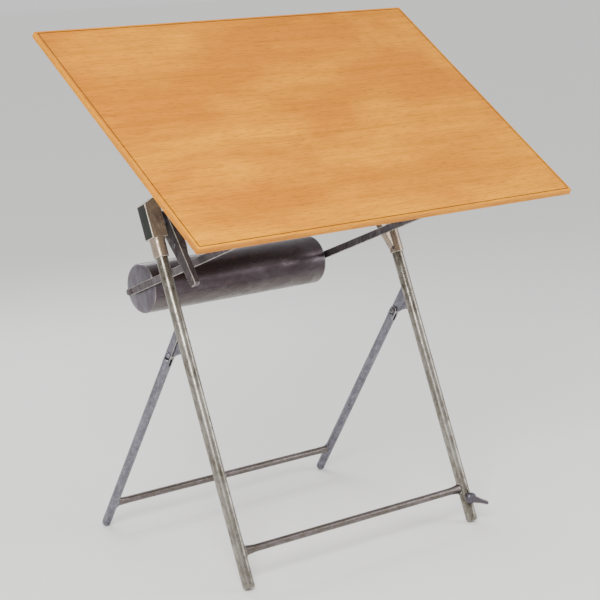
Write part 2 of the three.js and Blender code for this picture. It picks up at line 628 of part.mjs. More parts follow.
// Side view: round at the shaft, front fold straight, rear edge closing to the tip.
function leverOutline() {
  const shape = new THREE.Shape();
  shape.absarc(0, 0, -LEVER.front, 0, Math.PI, false);
  shape.lineTo(LEVER.front, LEVER.tip + LEVER.toeRound);
  shape.quadraticCurveTo(LEVER.front, LEVER.tip, LEVER.front + LEVER.toeRound, LEVER.tip);
  shape.lineTo(LEVER.tipBack, LEVER.tip + LEVER.tipRise);
  shape.lineTo(...LEVER.rear);
  shape.closePath();
  return shape;
}
const BEYOND = 60;                  // cutters run this far past the lever
const { outer, innerWide, innerNarrow, sheet, flareLow, flareHigh, tip } = LEVER;
const channel = combine(
  [plate(leverOutline(), -outer, -innerWide)],
  [
    slab([
      [-innerNarrow, tip - BEYOND], [-innerWide + BEYOND, tip - BEYOND],
      [-innerWide + BEYOND, flareHigh], [-innerWide, flareHigh], [-innerNarrow, flareLow],
    ], BEYOND),
    slab([
      [-outer + sheet, tip + sheet], [-innerNarrow - sheet, tip + sheet],
      [-innerNarrow - sheet, flareLow], [-innerWide - sheet, flareHigh],
      [-innerWide - sheet, BEYOND], [-outer + sheet, BEYOND],
    ], BEYOND).translate(0, LEVER.front + sheet + BEYOND, 0),
    throughPlates(SHAFT_HOLE, [0, 0], ROUND),
    throughPlates(LEVER_RIVET.hole, LEVER_RIVET.at, 12),
  ],
);
leverFrame.add(piece('tilt_lever', channel, pressedSteel));
const rivetInner = innerWide - LEVER_RIVET.headThick;
const rivetOuter = outer + LEVER_RIVET.headThick;
const rivet = turned([
  [0, rivetInner], [LEVER_RIVET.head, rivetInner], [LEVER_RIVET.head, innerWide - GAP],
  [LEVER_RIVET.radius, innerWide - GAP], [LEVER_RIVET.radius, outer + GAP],
  [LEVER_RIVET.head, outer + GAP], [LEVER_RIVET.head - 2, rivetOuter], [0, rivetOuter],
], 12).rotateY(-Math.PI / 2).translate(0, ...LEVER_RIVET.at);
leverFrame.add(piece('lever_rivet', rivet, hardware));

export default table;
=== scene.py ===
"""Finished look of a counterbalanced folding drafting table, built around its CAD frame.

Lengths in the making functions are millimetres in the local frame of the part they belong to:
X runs to the right of somebody who stands at the table, and each local Z runs up along the part.
"""

import json
import math

import bmesh
import bpy
from bpy.props import FloatProperty, FloatVectorProperty, PointerProperty
from mathutils import Matrix, Vector, noise


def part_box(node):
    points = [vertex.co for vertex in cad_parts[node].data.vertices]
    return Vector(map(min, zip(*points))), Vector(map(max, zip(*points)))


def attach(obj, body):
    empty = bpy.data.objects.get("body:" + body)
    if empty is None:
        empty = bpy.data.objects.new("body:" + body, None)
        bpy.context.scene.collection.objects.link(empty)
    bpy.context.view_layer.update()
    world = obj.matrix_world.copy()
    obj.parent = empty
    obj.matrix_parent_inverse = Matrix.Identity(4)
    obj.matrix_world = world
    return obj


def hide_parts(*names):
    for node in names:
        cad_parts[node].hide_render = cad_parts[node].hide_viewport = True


bl_info = {
    "name": "Drafting Table",
    "version": (1, 0, 0),
    "blender": (4, 5, 0),
    "location": "3D View > Sidebar > Drafting Table",
    "description": "Builds the finished pieces of a counterbalanced drafting table",
    "category": "Add Mesh",
}

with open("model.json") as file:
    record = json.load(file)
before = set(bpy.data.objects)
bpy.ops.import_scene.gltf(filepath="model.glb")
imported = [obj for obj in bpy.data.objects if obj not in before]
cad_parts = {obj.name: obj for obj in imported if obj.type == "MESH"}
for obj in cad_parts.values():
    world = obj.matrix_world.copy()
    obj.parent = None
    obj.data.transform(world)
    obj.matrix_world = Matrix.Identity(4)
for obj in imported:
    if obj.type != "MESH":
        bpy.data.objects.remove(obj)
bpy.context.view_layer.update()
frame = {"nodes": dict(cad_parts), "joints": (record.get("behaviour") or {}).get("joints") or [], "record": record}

MM = 0.001
SIDES = (("left", -1), ("right", 1))
RIGHT = Vector((1, 0, 0))

# The frame says which body and which material slot each CAD node belongs to.
BODY_OF = {
    node: body for body, nodes in frame["record"]["behaviour"]["bodies"].items() for node in nodes
}
SLOT_OF = {part["node"]: part["material_slot"] for part in frame["record"]["subparts"]}
JOINTS = {joint["name"]: joint for joint in frame["joints"]}


def local_frame(origin, up):
    """Matrix from millimetres in a part's own frame to metres in the table's frame."""
    back = up.cross(RIGHT)
    axes = Matrix((RIGHT, back, up)).transposed().to_4x4()
    return Matrix.Translation(origin) @ axes @ Matrix.Scale(MM, 4)


LEG_UP = -Vector(JOINTS["foot_slide"]["axis"])
LEG_LEAN = math.atan2(LEG_UP.y, LEG_UP.z)
SCREW_POINT = Vector(JOINTS["foot_slide"]["pos_m"])
SCREW_OUT = Vector(JOINTS["wing_turn"]["axis"])
SCREW_ALONG = SCREW_POINT.z / LEG_UP.z / MM
LEG_FLOOR = SCREW_POINT - LEG_UP * (SCREW_ALONG * MM)
SHAFT = Vector((0, *JOINTS["board_tilt"]["pos_m"][1:]))
HINGE = Vector((0, *JOINTS["rear_fold"]["pos_m"][1:]))
BOARD_UP = Vector(frame["record"]["mounts"][0]["axis"])
REAR_LEAN = math.radians(33.3)

FRONT = local_frame(Vector((0, LEG_FLOOR.y, 0)), LEG_UP)
REAR = local_frame(HINGE, Vector((0, -math.sin(REAR_LEAN), math.cos(REAR_LEAN))))
BOARD = local_frame(SHAFT, BOARD_UP)
SCREW = Matrix.Translation(SCREW_POINT) @ Matrix((
    SCREW_OUT.cross(Vector((0, 0, 1))) * -1, Vector((0, 0, 1)), SCREW_OUT,
)).transposed().to_4x4() @ Matrix.Scale(MM, 4)

GAP = 0.3  # between pieces that are welded or fastened together
BOLT_RADIUS, DRUM_BOLT_RADIUS, DRUM_PIN_RADIUS = 4, 6, 3

# Sizes that repeat the CAD model's driving dimensions.
FRONT_TUBE, FRONT_BORE = 16.85, 13.65
LEG_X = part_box("right_front_leg")[1].x / MM - FRONT_TUBE
REAR_TUBE, REAR_BORE = 13.45, 10.55
CROSS_TUBE, CROSS_BORE = 10.65, 8.05
FRONT_LEG_TOP = 1000
FRONT_BAR_ALONG, REAR_BAR_ALONG = 104.8, 96.9
HINGE_ALONG, HINGE_BEHIND = 674, 84.5
SHAFT_ALONG = 1034
FOOT_ROUND, SHOE = 8, 16
BOARD_TOP, BOARD_THICK, BOARD_WIDTH, BOARD_DEPTH = 338, 18, 1300, 890
BOARD_FORWARD, BOARD_CORNER = 7, 6
BATTEN_WIDTH, BATTEN_HEIGHT, BATTEN_LENGTH = 32, 38, 780
BATTEN_TOP = BOARD_TOP - BOARD_THICK - GAP
BATTEN_MIDDLE = BATTEN_TOP - BATTEN_HEIGHT / 2
ARM_INNER, ARM_THICK, ARM_HALF_WIDTH, ARM_END = 327.3, 8, 11, 9.4
BATTEN_OUTER = ARM_INNER - GAP
ARM_ANGLE = math.radians(124.4)
ARM_WAY = Vector((math.cos(ARM_ANGLE), math.sin(ARM_ANGLE)))
DRUM_RADIUS, DRUM_HALF, DRUM_CAP = 73, 321, 10
DRUM_CENTRE = Vector((51.5, -316.6))
DRUM_BOLT = DRUM_CENTRE - 30 * ARM_WAY
DRUM_PIN = DRUM_CENTRE - 8 * ARM_WAY
ARM_BOLT = DRUM_CENTRE + ARM_WAY * ((BATTEN_MIDDLE - DRUM_CENTRE.y) / ARM_WAY.y)
BRACKET_BOLT, BRACKET_BASE, BRACKET_HUB, BRACKET_THICK = 78, 100, 26, 6
SHAFT_RADIUS, SHAFT_BORE, SHAFT_END = 10, 10.15, 420
HUB_RADIUS, HUB_END = 22, 348.5
LEVER_SWING = math.radians(35.5)
LEVER = local_frame(SHAFT, Matrix.Rotation(-LEVER_SWING, 3, "X") @ Vector((0, 0, 1)))


# Colours and sizes that a user would change.

def linear(value):
    """Scene-linear colour of an sRGB hex value."""
    channels = [int(value[i:i + 2], 16) / 255 for i in (1, 3, 5)]
    return tuple(c / 12.92 if c <= 0.04045 else ((c + 0.055) / 1.055) ** 2.4 for c in channels)


def colour_property(name, description, value):
    return FloatVectorProperty(
        name=name, description=description, subtype="COLOR", size=3, min=0, max=1,
        default=linear(value))


def length_property(name, description, millimetres):
    return FloatProperty(
        name=name, description=description, subtype="DISTANCE", unit="LENGTH", min=0,
        default=millimetres * MM)


class DraftingTableColours(bpy.types.PropertyGroup):
    """Colours of the woods and metals."""
    board_light: colour_property("Board light", "Amber between the board's grain lines", "#FFA806")
    board_dark: colour_property("Board dark", "Brown of the board's grain lines", "#94500F")
    board_cloud: colour_property("Board cloud", "Redder patches of thick shellac", "#CC7410")
    board_edge: colour_property("Board edge", "Wood of the board's edges", "#D08526")
    # Dark brown of grain lines on the underside and battens and of the glue line; it also paints the shade in the
    # board's scored line.
    board_dirt: colour_property("Board dirt", "Grime in the board's scored line", "#4A2408")
    board_under: colour_property("Board underside", "Grey wood without a finish", "#8C7C66")
    batten: colour_property("Batten", "Unfinished beech of the battens", "#A98A66")
    steel_light: colour_property("Front steel", "Bare steel of the front legs", "#B2ADA3")
    steel_stain: colour_property("Front steel stain", "Brown patina on the front legs", "#5A5348")
    rear_light: colour_property("Rear steel", "Bare steel of the rear legs", "#94929C")
    rear_stain: colour_property("Rear steel stain", "Dull patches on the rear legs", "#5E5C66")
    iron_light: colour_property("Cast iron", "Ground faces of the head castings", "#BAA794")
    iron_stain: colour_property("Cast iron stain", "Dark skin of the head castings", "#86766A")
    iron_skin: colour_property("Iron skin", "Blackened outer faces of the castings", "#3C403B")
    pressed_light: colour_property("Pressed steel", "Lever, arms and brackets", "#807779")
    pressed_stain: colour_property("Pressed steel stain", "Mill scale on the pressings", "#544E53")
    drum_light: colour_property("Drum steel", "Worn skin of the drum", "#625A60")
    drum_stain: colour_property("Drum stain", "Brown-purple patina of the drum", "#33282A")
    rust: colour_property("Rust", "Spots of old rust", "#6B3626")
    # Pale colour of metal that rubbing has made bright along edges; it also paints the highlights along edges and
    # cap joints, and the floor's reflection under the drum.
    worn: colour_property("Worn edge", "Metal rubbed bright along edges", "#D6D0C0")


class DraftingTableSizes(bpy.types.PropertyGroup):
    """Sizes of the details that the CAD model leaves out."""
    weld_bead: length_property("Weld bead", "Radius of a weld bead", 2.6)
    plate_edge: length_property("Plate edge", "Rounding on the edges of plates", 0.9)
    casting_edge: length_property("Casting edge", "Rounding on the edges of the castings", 2.4)
    board_arris: length_property("Board arris", "Rounding on the board's edges", 3.6)
    bar_flare: length_property("Bar flare", "Length over which a crossbar widens to its weld", 46)


def colours():
    return bpy.context.scene.drafting_table_colours


def sizes():
    return bpy.context.scene.drafting_table_sizes


# Materials.

def add_node(tree, kind, inputs=None, **settings):
    """Adds a shader node with its settings; inputs are values, or sockets to link.

    A colour is given as its three channels.
    """
    made = tree.nodes.new(kind)
    for name, value in settings.items():
        setattr(made, name, value)
    for name, value in (inputs or {}).items():
        socket = made.inputs[name]
        if isinstance(value, bpy.types.NodeSocket):
            tree.links.new(value, socket)
        else:
            socket.default_value = (*value, 1) if socket.type == "RGBA" else value
    return made


def start_material(name):
    material = bpy.data.materials.new(name)
    material.use_nodes = True
    tree = material.node_tree
    shader = tree.nodes["Principled BSDF"]
    place = add_node(tree, "ShaderNodeTexCoord").outputs["Object"]
    return material, tree, shader, place


# Sockets of a Mix node that mixes colours.
SHARE, UNDER, OVER, MIXED = 0, 6, 7, 2


def patinated_metal(name, light, stain, *, run=(0, 0, 0), patch=14, roughness=(0.3, 0.5),
                    spots=0.12, stain_share=0.5, scratch=0.25, softness=0.2, metal=0.85):
    """Bare ferrous metal under old clear lacquer: mottled patina, rust specks, and pale marked faces: edges bright
    from rubbing and a painted highlight, and painted reflections.

    light and stain name two of the user's colours. run turns the pattern so that its streaks
    lie along a tube, and patch is the size of the mottling in mm. softness is how gently the
    patina fades into bare metal.
    """
    material, tree, shader, place = start_material(name)
    palette = colours()
    turned_place = add_node(tree, "ShaderNodeMapping", {
        "Vector": place, "Rotation": run,
    }).outputs[0]
    streaked = add_node(tree, "ShaderNodeMapping", {
        "Vector": turned_place, "Scale": (1, 1, 0.5),
    }).outputs[0]
    broad = add_node(tree, "ShaderNodeTexNoise", {
        "Vector": streaked, "Scale": 1 / (patch * 4 * MM), "Detail": 5.0, "Roughness": 0.6,
    }).outputs["Fac"]
    mottled = add_node(tree, "ShaderNodeTexNoise", {
        "Vector": streaked, "Scale": 1 / (patch * MM), "Detail": 8.0, "Roughness": 0.68,
        "Distortion": 0.6,
    }).outputs["Fac"]
    both = add_node(tree, "ShaderNodeMath", {0: broad, 1: mottled}, operation="ADD").outputs[0]
    middle = 1.2 - 0.4 * stain_share
    cover = add_node(tree, "ShaderNodeMapRange", {
        "Value": both, "From Min": middle - softness, "From Max": middle + softness,
    }).outputs[0]
    colour = add_node(tree, "ShaderNodeMix", {
        SHARE: cover, UNDER: getattr(palette, light), OVER: getattr(palette, stain),
    }, data_type="RGBA").outputs[MIXED]
    # Rust sits in specks of 2 to 4 mm where the lacquer has failed.
    specks = add_node(tree, "ShaderNodeTexNoise", {
        "Vector": turned_place, "Scale": 1 / (patch * 0.8 * MM), "Detail": 4.0, "Roughness": 0.75,
    }).outputs["Fac"]
    rusted = add_node(tree, "ShaderNodeMapRange", {
        "Value": specks, "From Min": 0.6, "From Max": 0.8, "To Max": spots * 4,
    }).outputs[0]
    colour = add_node(tree, "ShaderNodeMix", {
        SHARE: rusted, UNDER: colour, OVER: palette.rust,
    }, data_type="RGBA").outputs[MIXED]
    # Fine scratches along the part, 0.4 mm apart, drawn at three times their real width.
    scratches = add_node(tree, "ShaderNodeTexNoise", {
        "Vector": add_node(tree, "ShaderNodeMapping", {
            "Vector": turned_place, "Scale": (1, 1, 0.04),
        }).outputs[0], "Scale": 1 / (1.2 * MM), "Detail": 3.0,
    }).outputs["Fac"]
    lifted = add_node(tree, "ShaderNodeMapRange", {
        "Value": scratches, "From Min": 0.35, "From Max": 0.7,
        "To Min": 1 - scratch, "To Max": 1.06,
    }).outputs[0]
    shade = add_node(tree, "ShaderNodeCombineColor", {0: lifted, 1: lifted, 2: lifted}).outputs[0]
    colour = add_node(tree, "ShaderNodeMix", {
        SHARE: 1.0, UNDER: colour, OVER: shade,
    }, data_type="RGBA", blend_type="MULTIPLY").outputs[MIXED]
    # Marked faces are painted pale: edges bright from rubbing, with a painted highlight on them, a painted
    # highlight along each cap joint, and a painted reflection of the floor under the drum.
    worn = add_node(tree, "ShaderNodeAttribute", attribute_name="worn").outputs["Fac"]
    wear_and_light_patchiness = add_node(tree, "ShaderNodeMapRange", {
        "Value": mottled, "From Min": 0.3, "From Max": 0.6, "To Min": 1, "To Max": 0.45,
    }).outputs[0]
    bright = add_node(tree, "ShaderNodeMath", {0: worn, 1: wear_and_light_patchiness}, operation="MULTIPLY").outputs[0]
    colour = add_node(tree, "ShaderNodeMix", {
        SHARE: bright, UNDER: colour, OVER: palette.worn,
    }, data_type="RGBA").outputs[MIXED]
    tree.links.new(colour, shader.inputs["Base Color"])
    shader.inputs["Metallic"].default_value = metal
    rough = add_node(tree, "ShaderNodeMapRange", {
        "Value": mottled, "From Min": 0.3, "From Max": 0.7,
        "To Min": roughness[0], "To Max": roughness[1],
    }).outputs[0]
    tree.links.new(rough, shader.inputs["Roughness"])
    bump = add_node(tree, "ShaderNodeBump", {
        "Height": both, "Strength": 0.25, "Distance": 0.4 * MM,
    }).outputs[0]
    fine = add_node(tree, "ShaderNodeBump", {
        "Height": scratches, "Normal": bump, "Strength": 0.12, "Distance": 0.2 * MM,
    }).outputs[0]
    tree.links.new(fine, shader.inputs["Normal"])
    return material


def front_steel():
    """Gas pipe, ground bright and lacquered: cream where it shines, brown where it has aged."""
    return patinated_metal(
        "lacquered_steel_pipe", "steel_light", "steel_stain",
        run=(LEG_LEAN, 0, 0), patch=9, roughness=(0.2, 0.36), softness=0.3)


def rear_steel():
    """The rear frame's pipe: the same steel, cooler and duller."""
    return patinated_metal(
        "dull_steel_pipe", "rear_light", "rear_stain",
        run=(-REAR_LEAN, 0, 0), patch=5, roughness=(0.26, 0.42), spots=0.08, softness=0.3)


def bar_steel():
    """Crossbar pipe, browner than the legs; its streaks lie along X."""
    return patinated_metal(
        "brown_steel_pipe", "pressed_light", "steel_stain",
        run=(0, math.radians(90), 0), patch=5, roughness=(0.26, 0.42), softness=0.3)


def cast_iron():
    """Grey iron castings, ground flat, bright from rubbing along every arris, and painted with a highlight there.
    """
    return patinated_metal(
        "ground_cast_iron", "iron_light", "iron_stain",
        run=(LEG_LEAN, 0, 0), roughness=(0.2, 0.36), stain_share=0.45, metal=0.65)


def blackened_iron():
    """The castings' outer faces, still black from the foundry."""
    return patinated_metal(
        "blackened_cast_iron", "iron_skin", "pressed_stain",
        run=(LEG_LEAN, 0, 0), patch=16, roughness=(0.4, 0.55), stain_share=0.3, spots=0.04)


def pressed_steel():
    """Hot-rolled flat steel with its dark scale left on."""
    return patinated_metal(
        "scaled_flat_steel", "pressed_light", "pressed_stain",
        patch=12, roughness=(0.38, 0.56), metal=0.75)


def cap_steel():
    """The drum's pressed end caps, blue-grey where hands have polished them."""
    return patinated_metal(
        "polished_cap_steel", "rear_light", "drum_light",
        patch=30, roughness=(0.3, 0.42), spots=0.05, stain_share=0.85, softness=0.3)


def wing_steel():
    """The forged wing bolt, dark from handling."""
    return patinated_metal(
        "handled_forged_steel", "drum_light", "rear_stain",
        patch=8, roughness=(0.3, 0.45), spots=0.05)


def drum_steel():
    """Rolled sheet steel with a brown-purple patina and reddish specks."""
    return patinated_metal(
        "rolled_drum_steel", "drum_light", "drum_stain",
        run=(0, math.radians(90), 0), patch=30, roughness=(0.24, 0.38), spots=0.2,
        stain_share=0.55, scratch=0.12, softness=0.42)


def bright_hardware():
    """Bolts and washers of plain steel, handled until they shine."""
    return patinated_metal(
        "plain_steel_hardware", "rear_light", "pressed_stain",
        patch=5, roughness=(0.28, 0.45))


def amber_wood(name, light, dark, cloud, grain=3.4, along="X", gloss=0.4, dirt=True,
               glue_line=False):
    """Close-grained wood: long fine grain, cloudy colour, and painted shade where a face is marked.

    light, dark and cloud name three of the user's colours. grain is the width of a grain line
    in mm, along the way it runs, and gloss the lowest roughness.
    """
    def stretched(share):
        """Scale that draws a pattern out along the grain."""
        return (share, 1, 1) if along == "X" else (1, share, 1)

    material, tree, shader, place = start_material(name)
    palette = colours()
    light, dark, cloud = (getattr(palette, colour) for colour in (light, dark, cloud))
    tilt = math.atan2(-BOARD_UP.y, BOARD_UP.z)
    level = add_node(tree, "ShaderNodeMapping", {
        "Vector": place, "Rotation": (-tilt, 0, 0),
    }).outputs[0]
    long_way = add_node(tree, "ShaderNodeMapping", {
        "Vector": level, "Scale": stretched(0.035),
    }).outputs[0]
    wavering = add_node(tree, "ShaderNodeTexNoise", {
        "Vector": long_way, "Scale": 1 / (grain * 7 * MM), "Detail": 6.0, "Roughness": 0.66,
        "Distortion": 0.35,
    }).outputs["Fac"]
    lines = add_node(tree, "ShaderNodeTexNoise", {
        "Vector": long_way, "Scale": 1 / (grain * MM), "Detail": 4.0, "Roughness": 0.6,
        "Distortion": 0.2,
    }).outputs["Fac"]
    # Pores are drawn at three times their real width, so that they show.
    pores = add_node(tree, "ShaderNodeTexNoise", {
        "Vector": add_node(tree, "ShaderNodeMapping", {
            "Vector": level, "Scale": stretched(0.1),
        }).outputs[0], "Scale": 1 / (2.8 * MM), "Detail": 3.0,
    }).outputs["Fac"]
    clouds = add_node(tree, "ShaderNodeTexNoise", {
        "Vector": add_node(tree, "ShaderNodeMapping", {
            "Vector": level, "Scale": (0.45, 1, 1),
        }).outputs[0], "Scale": 1 / (210 * MM), "Detail": 6.0, "Roughness": 0.6,
        "Distortion": 0.4,
    }).outputs["Fac"]
    # The redder cloud colour spreads further towards the far edge.
    far = add_node(tree, "ShaderNodeMapRange", {
        "Value": add_node(tree, "ShaderNodeSeparateXYZ", {0: level}).outputs["Y"],
        "From Min": -0.1, "From Max": 0.65, "To Min": -0.06, "To Max": 0.14,
    }).outputs[0]
    aged = add_node(tree, "ShaderNodeMath", {0: clouds, 1: far}, operation="ADD").outputs[0]
    clouded = add_node(tree, "ShaderNodeMapRange", {
        "Value": aged, "From Min": 0.42, "From Max": 0.7, "To Max": 0.72,
    }).outputs[0]
    colour = add_node(tree, "ShaderNodeMix", {
        SHARE: clouded, UNDER: light, OVER: cloud,
    }, data_type="RGBA").outputs[MIXED]
    # Broad bands first, then the grain lines, then the pores.
    for value, low, high, most in (
            (wavering, 0.42, 0.72, 0.3), (lines, 0.5, 0.74, 0.5), (pores, 0.52, 0.72, 0.5)):
        share = add_node(tree, "ShaderNodeMapRange", {
            "Value": value, "From Min": low, "From Max": high, "To Max": most,
        }).outputs[0]
        colour = add_node(tree, "ShaderNodeMix", {
            SHARE: share, UNDER: colour, OVER: dark,
        }, data_type="RGBA").outputs[MIXED]
    if glue_line:
        # The board is glued up from two layers: a faint line, 1 mm thick, runs round its edge.
        up = add_node(tree, "ShaderNodeSeparateXYZ", {0: level}).outputs["Z"]
        middle = SHAFT.dot(BOARD_UP) + (BOARD_TOP - BOARD_THICK * 0.55) * MM
        line = add_node(tree, "ShaderNodeMath", {
            0: up, 1: middle, 2: 0.5 * MM,
        }, operation="COMPARE").outputs[0]
        faint = add_node(tree, "ShaderNodeMath", {0: line, 1: wavering}, operation="MULTIPLY")
        colour = add_node(tree, "ShaderNodeMix", {
            SHARE: faint.outputs[0], UNDER: colour, OVER: palette.board_dirt,
        }, data_type="RGBA").outputs[MIXED]
    # Marked faces, the walls of the scored line, are painted darker: painted shade in the groove.
    if dirt:
        worn = add_node(tree, "ShaderNodeAttribute", attribute_name="worn").outputs["Fac"]
        groove_shade_share = add_node(tree, "ShaderNodeMath", {
            0: worn, 1: 0.85,
        }, operation="MULTIPLY").outputs[0]
        colour = add_node(tree, "ShaderNodeMix", {
            SHARE: groove_shade_share, UNDER: colour, OVER: palette.board_dirt,
        }, data_type="RGBA").outputs[MIXED]
    tree.links.new(colour, shader.inputs["Base Color"])
    shader.inputs["Specular IOR Level"].default_value = 0.18
    rough = add_node(tree, "ShaderNodeMapRange", {
        "Value": wavering, "From Min": 0.3, "From Max": 0.7,
        "To Min": gloss, "To Max": gloss + 0.14,
    }).outputs[0]
    tree.links.new(rough, shader.inputs["Roughness"])
    bump = add_node(tree, "ShaderNodeBump", {
        "Height": pores, "Strength": 0.12, "Distance": 0.15 * MM,
    }).outputs[0]
    bump = add_node(tree, "ShaderNodeBump", {
        "Height": lines, "Normal": bump, "Strength": 0.15, "Distance": 0.2 * MM,
    }).outputs[0]
    tree.links.new(bump, shader.inputs["Normal"])
    return material


def board_face():
    """Basswood drawing-board face, amber with old shellac."""
    return amber_wood("shellacked_board_face", "board_light", "board_dark", "board_cloud")


def board_edge():
    """The board's edges, sanded paler than its face."""
    return amber_wood("sanded_board_edge", "board_edge", "board_dark", "board_light",
                      grain=1.6, gloss=0.5, glue_line=True)


def board_underside():
    """The board's underside, left unfinished and gone grey."""
    return amber_wood("grey_board_underside", "board_under", "board_dirt", "board_under",
                      gloss=0.65)


def batten_wood():
    """Plain beech battens without a finish; their grain runs up the board."""
    return amber_wood("plain_beech", "batten", "board_dirt", "board_under",
                      grain=1.6, along="Y", gloss=0.6, dirt=False)


FINISHES = {
    "front_frame_steel": front_steel,
    "rear_frame_steel": rear_steel,
    "bar_steel": bar_steel,
    "head_iron": cast_iron,
    "blackened_iron": blackened_iron,
    "pressed_steel": pressed_steel,
    "drum_steel": drum_steel,
    "cap_steel": cap_steel,
    "wing_steel": wing_steel,
    "bright_hardware": bright_hardware,
    "board_wood": board_face,
    "board_edge": board_edge,
    "board_underside": board_underside,
    "batten_wood": batten_wood,
}
made_finishes = {}


def finish(name):
    """The material of that finish, made the first time it is asked for."""
    if name not in made_finishes:
        made_finishes[name] = FINISHES[name]()
    return made_finishes[name]


# Shapes.

def arc(centre, radius, start, end, steps=8):
    """Points on an arc about centre, from the start angle to the end angle in degrees."""
    angles = [math.radians(start + (end - start) * i / steps) for i in range(steps + 1)]
    return [(centre[0] + radius * math.cos(a), centre[1] + radius * math.sin(a)) for a in angles]


def bend(start, middle, end, steps=8):
    """Points on a curve from start to end that is pulled towards the middle point."""
    shares = [i / steps for i in range(steps + 1)]
    return [
        tuple((1 - t) ** 2 * a + 2 * t * (1 - t) * b + t * t * c
              for a, b, c in zip(start, middle, end))
        for t in shares
    ]


def rounded_bar(start, end, start_half, end_half, steps=10):
    """Outline of a flat bar with round ends about two centres."""
    turn = math.degrees(math.atan2(end[1] - start[1], end[0] - start[0]))
    return (arc(end, end_half, turn - 90, turn + 90, steps)
            + arc(start, start_half, turn + 90, turn + 270, steps))


def turned(profile, steps=48):
    """A shape turned about Z from (radius, height) points, listed upwards along the outside."""
    bm = bmesh.new()
    points = [bm.verts.new((radius, 0, height)) for radius, height in profile]
    edges = [bm.edges.new(pair) for pair in zip(points, points[1:])]
    bmesh.ops.spin(
        bm, geom=points + edges, cent=(0, 0, 0), axis=(0, 0, 1), angle=math.tau, steps=steps,
        use_merge=True)
    bmesh.ops.remove_doubles(bm, verts=bm.verts, dist=0.001)
    bmesh.ops.recalc_face_normals(bm, faces=bm.faces)
    return bm


def tube(radius, bore, low, high, rim=0.6, steps=48):
    """A pipe along Z with its ends broken by a small rim."""
    return turned([
        (bore, low), (radius - rim, low), (radius, low + rim), (radius, high - rim),
        (radius - rim, high), (bore, high), (bore, low),
    ], steps)


def rod(radius, low, high, rim=0.5, steps=32):
    """A solid round bar along Z."""
    return turned([
        (0, low), (radius - rim, low), (radius, low + rim), (radius, high - rim),
        (radius - rim, high), (0, high),
    ], steps)


def transformed(bm, matrix):
    bmesh.ops.transform(bm, matrix=matrix, verts=bm.verts)
    return bm


def along_x(bm, sign=1):
    """Turns a shape made along Z so that it points to +X, or to -X."""
    return transformed(bm, Matrix.Rotation(sign * math.pi / 2, 4, "Y"))


def moved(bm, x=0, y=0, z=0):
    bmesh.ops.translate(bm, vec=(x, y, z), verts=bm.verts)
    return bm


def hole_across(radius, x, spot=(0, 0), reach=20, steps=32):
    """A cutter along X, centred at x, for a round hole at the spot (y, z)."""
    return moved(along_x(rod(radius, -reach, reach, 0, steps)), x, *spot)


def edges_along(bm, axis):
    """The edges of a straight block that run along X, Y or Z: axis 0, 1 or 2."""
    return [e for e in bm.edges if abs(e.verts[0].co[axis] - e.verts[1].co[axis]) > 1]


def round_over(bm, edges, size, segments):
    """Rounds some edges, and gives back the new faces."""
    return bmesh.ops.bevel(
        bm, geom=edges, offset=size, offset_type="OFFSET", segments=segments, profile=0.5,
        affect="EDGES", material=-1, clamp_overlap=True)["faces"]


def wear_and_painted_light_layer(bm):
    """The face attribute that the materials read: on metal it paints faces pale, for edges bright from rubbing,
    painted highlights and a painted floor reflection; on wood it paints shade.
    """
    return bm.faces.layers.float.get("worn") or bm.faces.layers.float.new("worn")


def soften(bm, size, segments=3, over=35, worn=True):
    """Rounds the edges that turn by more than so many degrees, and marks them pale: bright from rubbing, with a
    painted highlight.
    """
    layer = wear_and_painted_light_layer(bm)
    sharp = [
        edge for edge in bm.edges
        if len(edge.link_faces) == 2 and edge.calc_face_angle(0) > math.radians(over)
    ]
    for face in round_over(bm, sharp, size, segments):
        face[layer] = int(worn)
    return bm


def extruded(corners, shift):
    """A solid swept from one flat face along a shift."""
    bm = bmesh.new()
    face = bm.faces.new([bm.verts.new(corner) for corner in corners])
    swept = bmesh.ops.extrude_face_region(bm, geom=[face])["geom"]
    bmesh.ops.translate(
        bm, vec=shift, verts=[item for item in swept if isinstance(item, bmesh.types.BMVert)])
    bmesh.ops.recalc_face_normals(bm, faces=bm.faces)
    return bm


def plate(outline, x0, x1):
    """A plate between x0 and x1, in either order, from an outline in the (Y, Z) plane."""
    low, high = sorted((x0, x1))
    return extruded([(low, y, z) for y, z in outline], (high - low, 0, 0))


def slab(outline, half):
    """A block along Y from an outline in the (X, Z) plane."""
    return extruded([(x, -half, z) for x, z in outline], (0, 2 * half, 0))


def box(x0, x1, y0, y1, z0, z1):
    """A block between two x (in either order), two y and two z."""
    bm = bmesh.new()
    bmesh.ops.create_cube(bm, size=1)
    bmesh.ops.scale(bm, vec=(abs(x1 - x0), y1 - y0, z1 - z0), verts=bm.verts)
    return moved(bm, (x0 + x1) / 2, (y0 + y1) / 2, (z0 + z1) / 2)


def new_object(bm, name):
    """An object at the origin, unturned and unscaled, that takes over the shape."""
    mesh = bpy.data.meshes.new(name)
    bm.to_mesh(mesh)
    bm.free()
    made = bpy.data.objects.new(name, mesh)
    bpy.context.scene.collection.objects.link(made)
    return made


def carve(bm, tools, operation="DIFFERENCE"):
    """Cuts the tools out of a shape, or joins them to it with UNION."""
    made = [new_object(shape, "carving") for shape in (bm, *tools)]
    for tool in made[1:]:
        modifier = made[0].modifiers.new("carve", "BOOLEAN")
        modifier.operation = operation
        modifier.solver = "EXACT"
        modifier.object = tool
    held = made[0].evaluated_get(bpy.context.evaluated_depsgraph_get())
    result = bmesh.new()
    result.from_mesh(held.to_mesh())
    held.to_mesh_clear()
    for item in made:
        bpy.data.objects.remove(item)
    bmesh.ops.remove_doubles(result, verts=result.verts, dist=0.005)
    return result


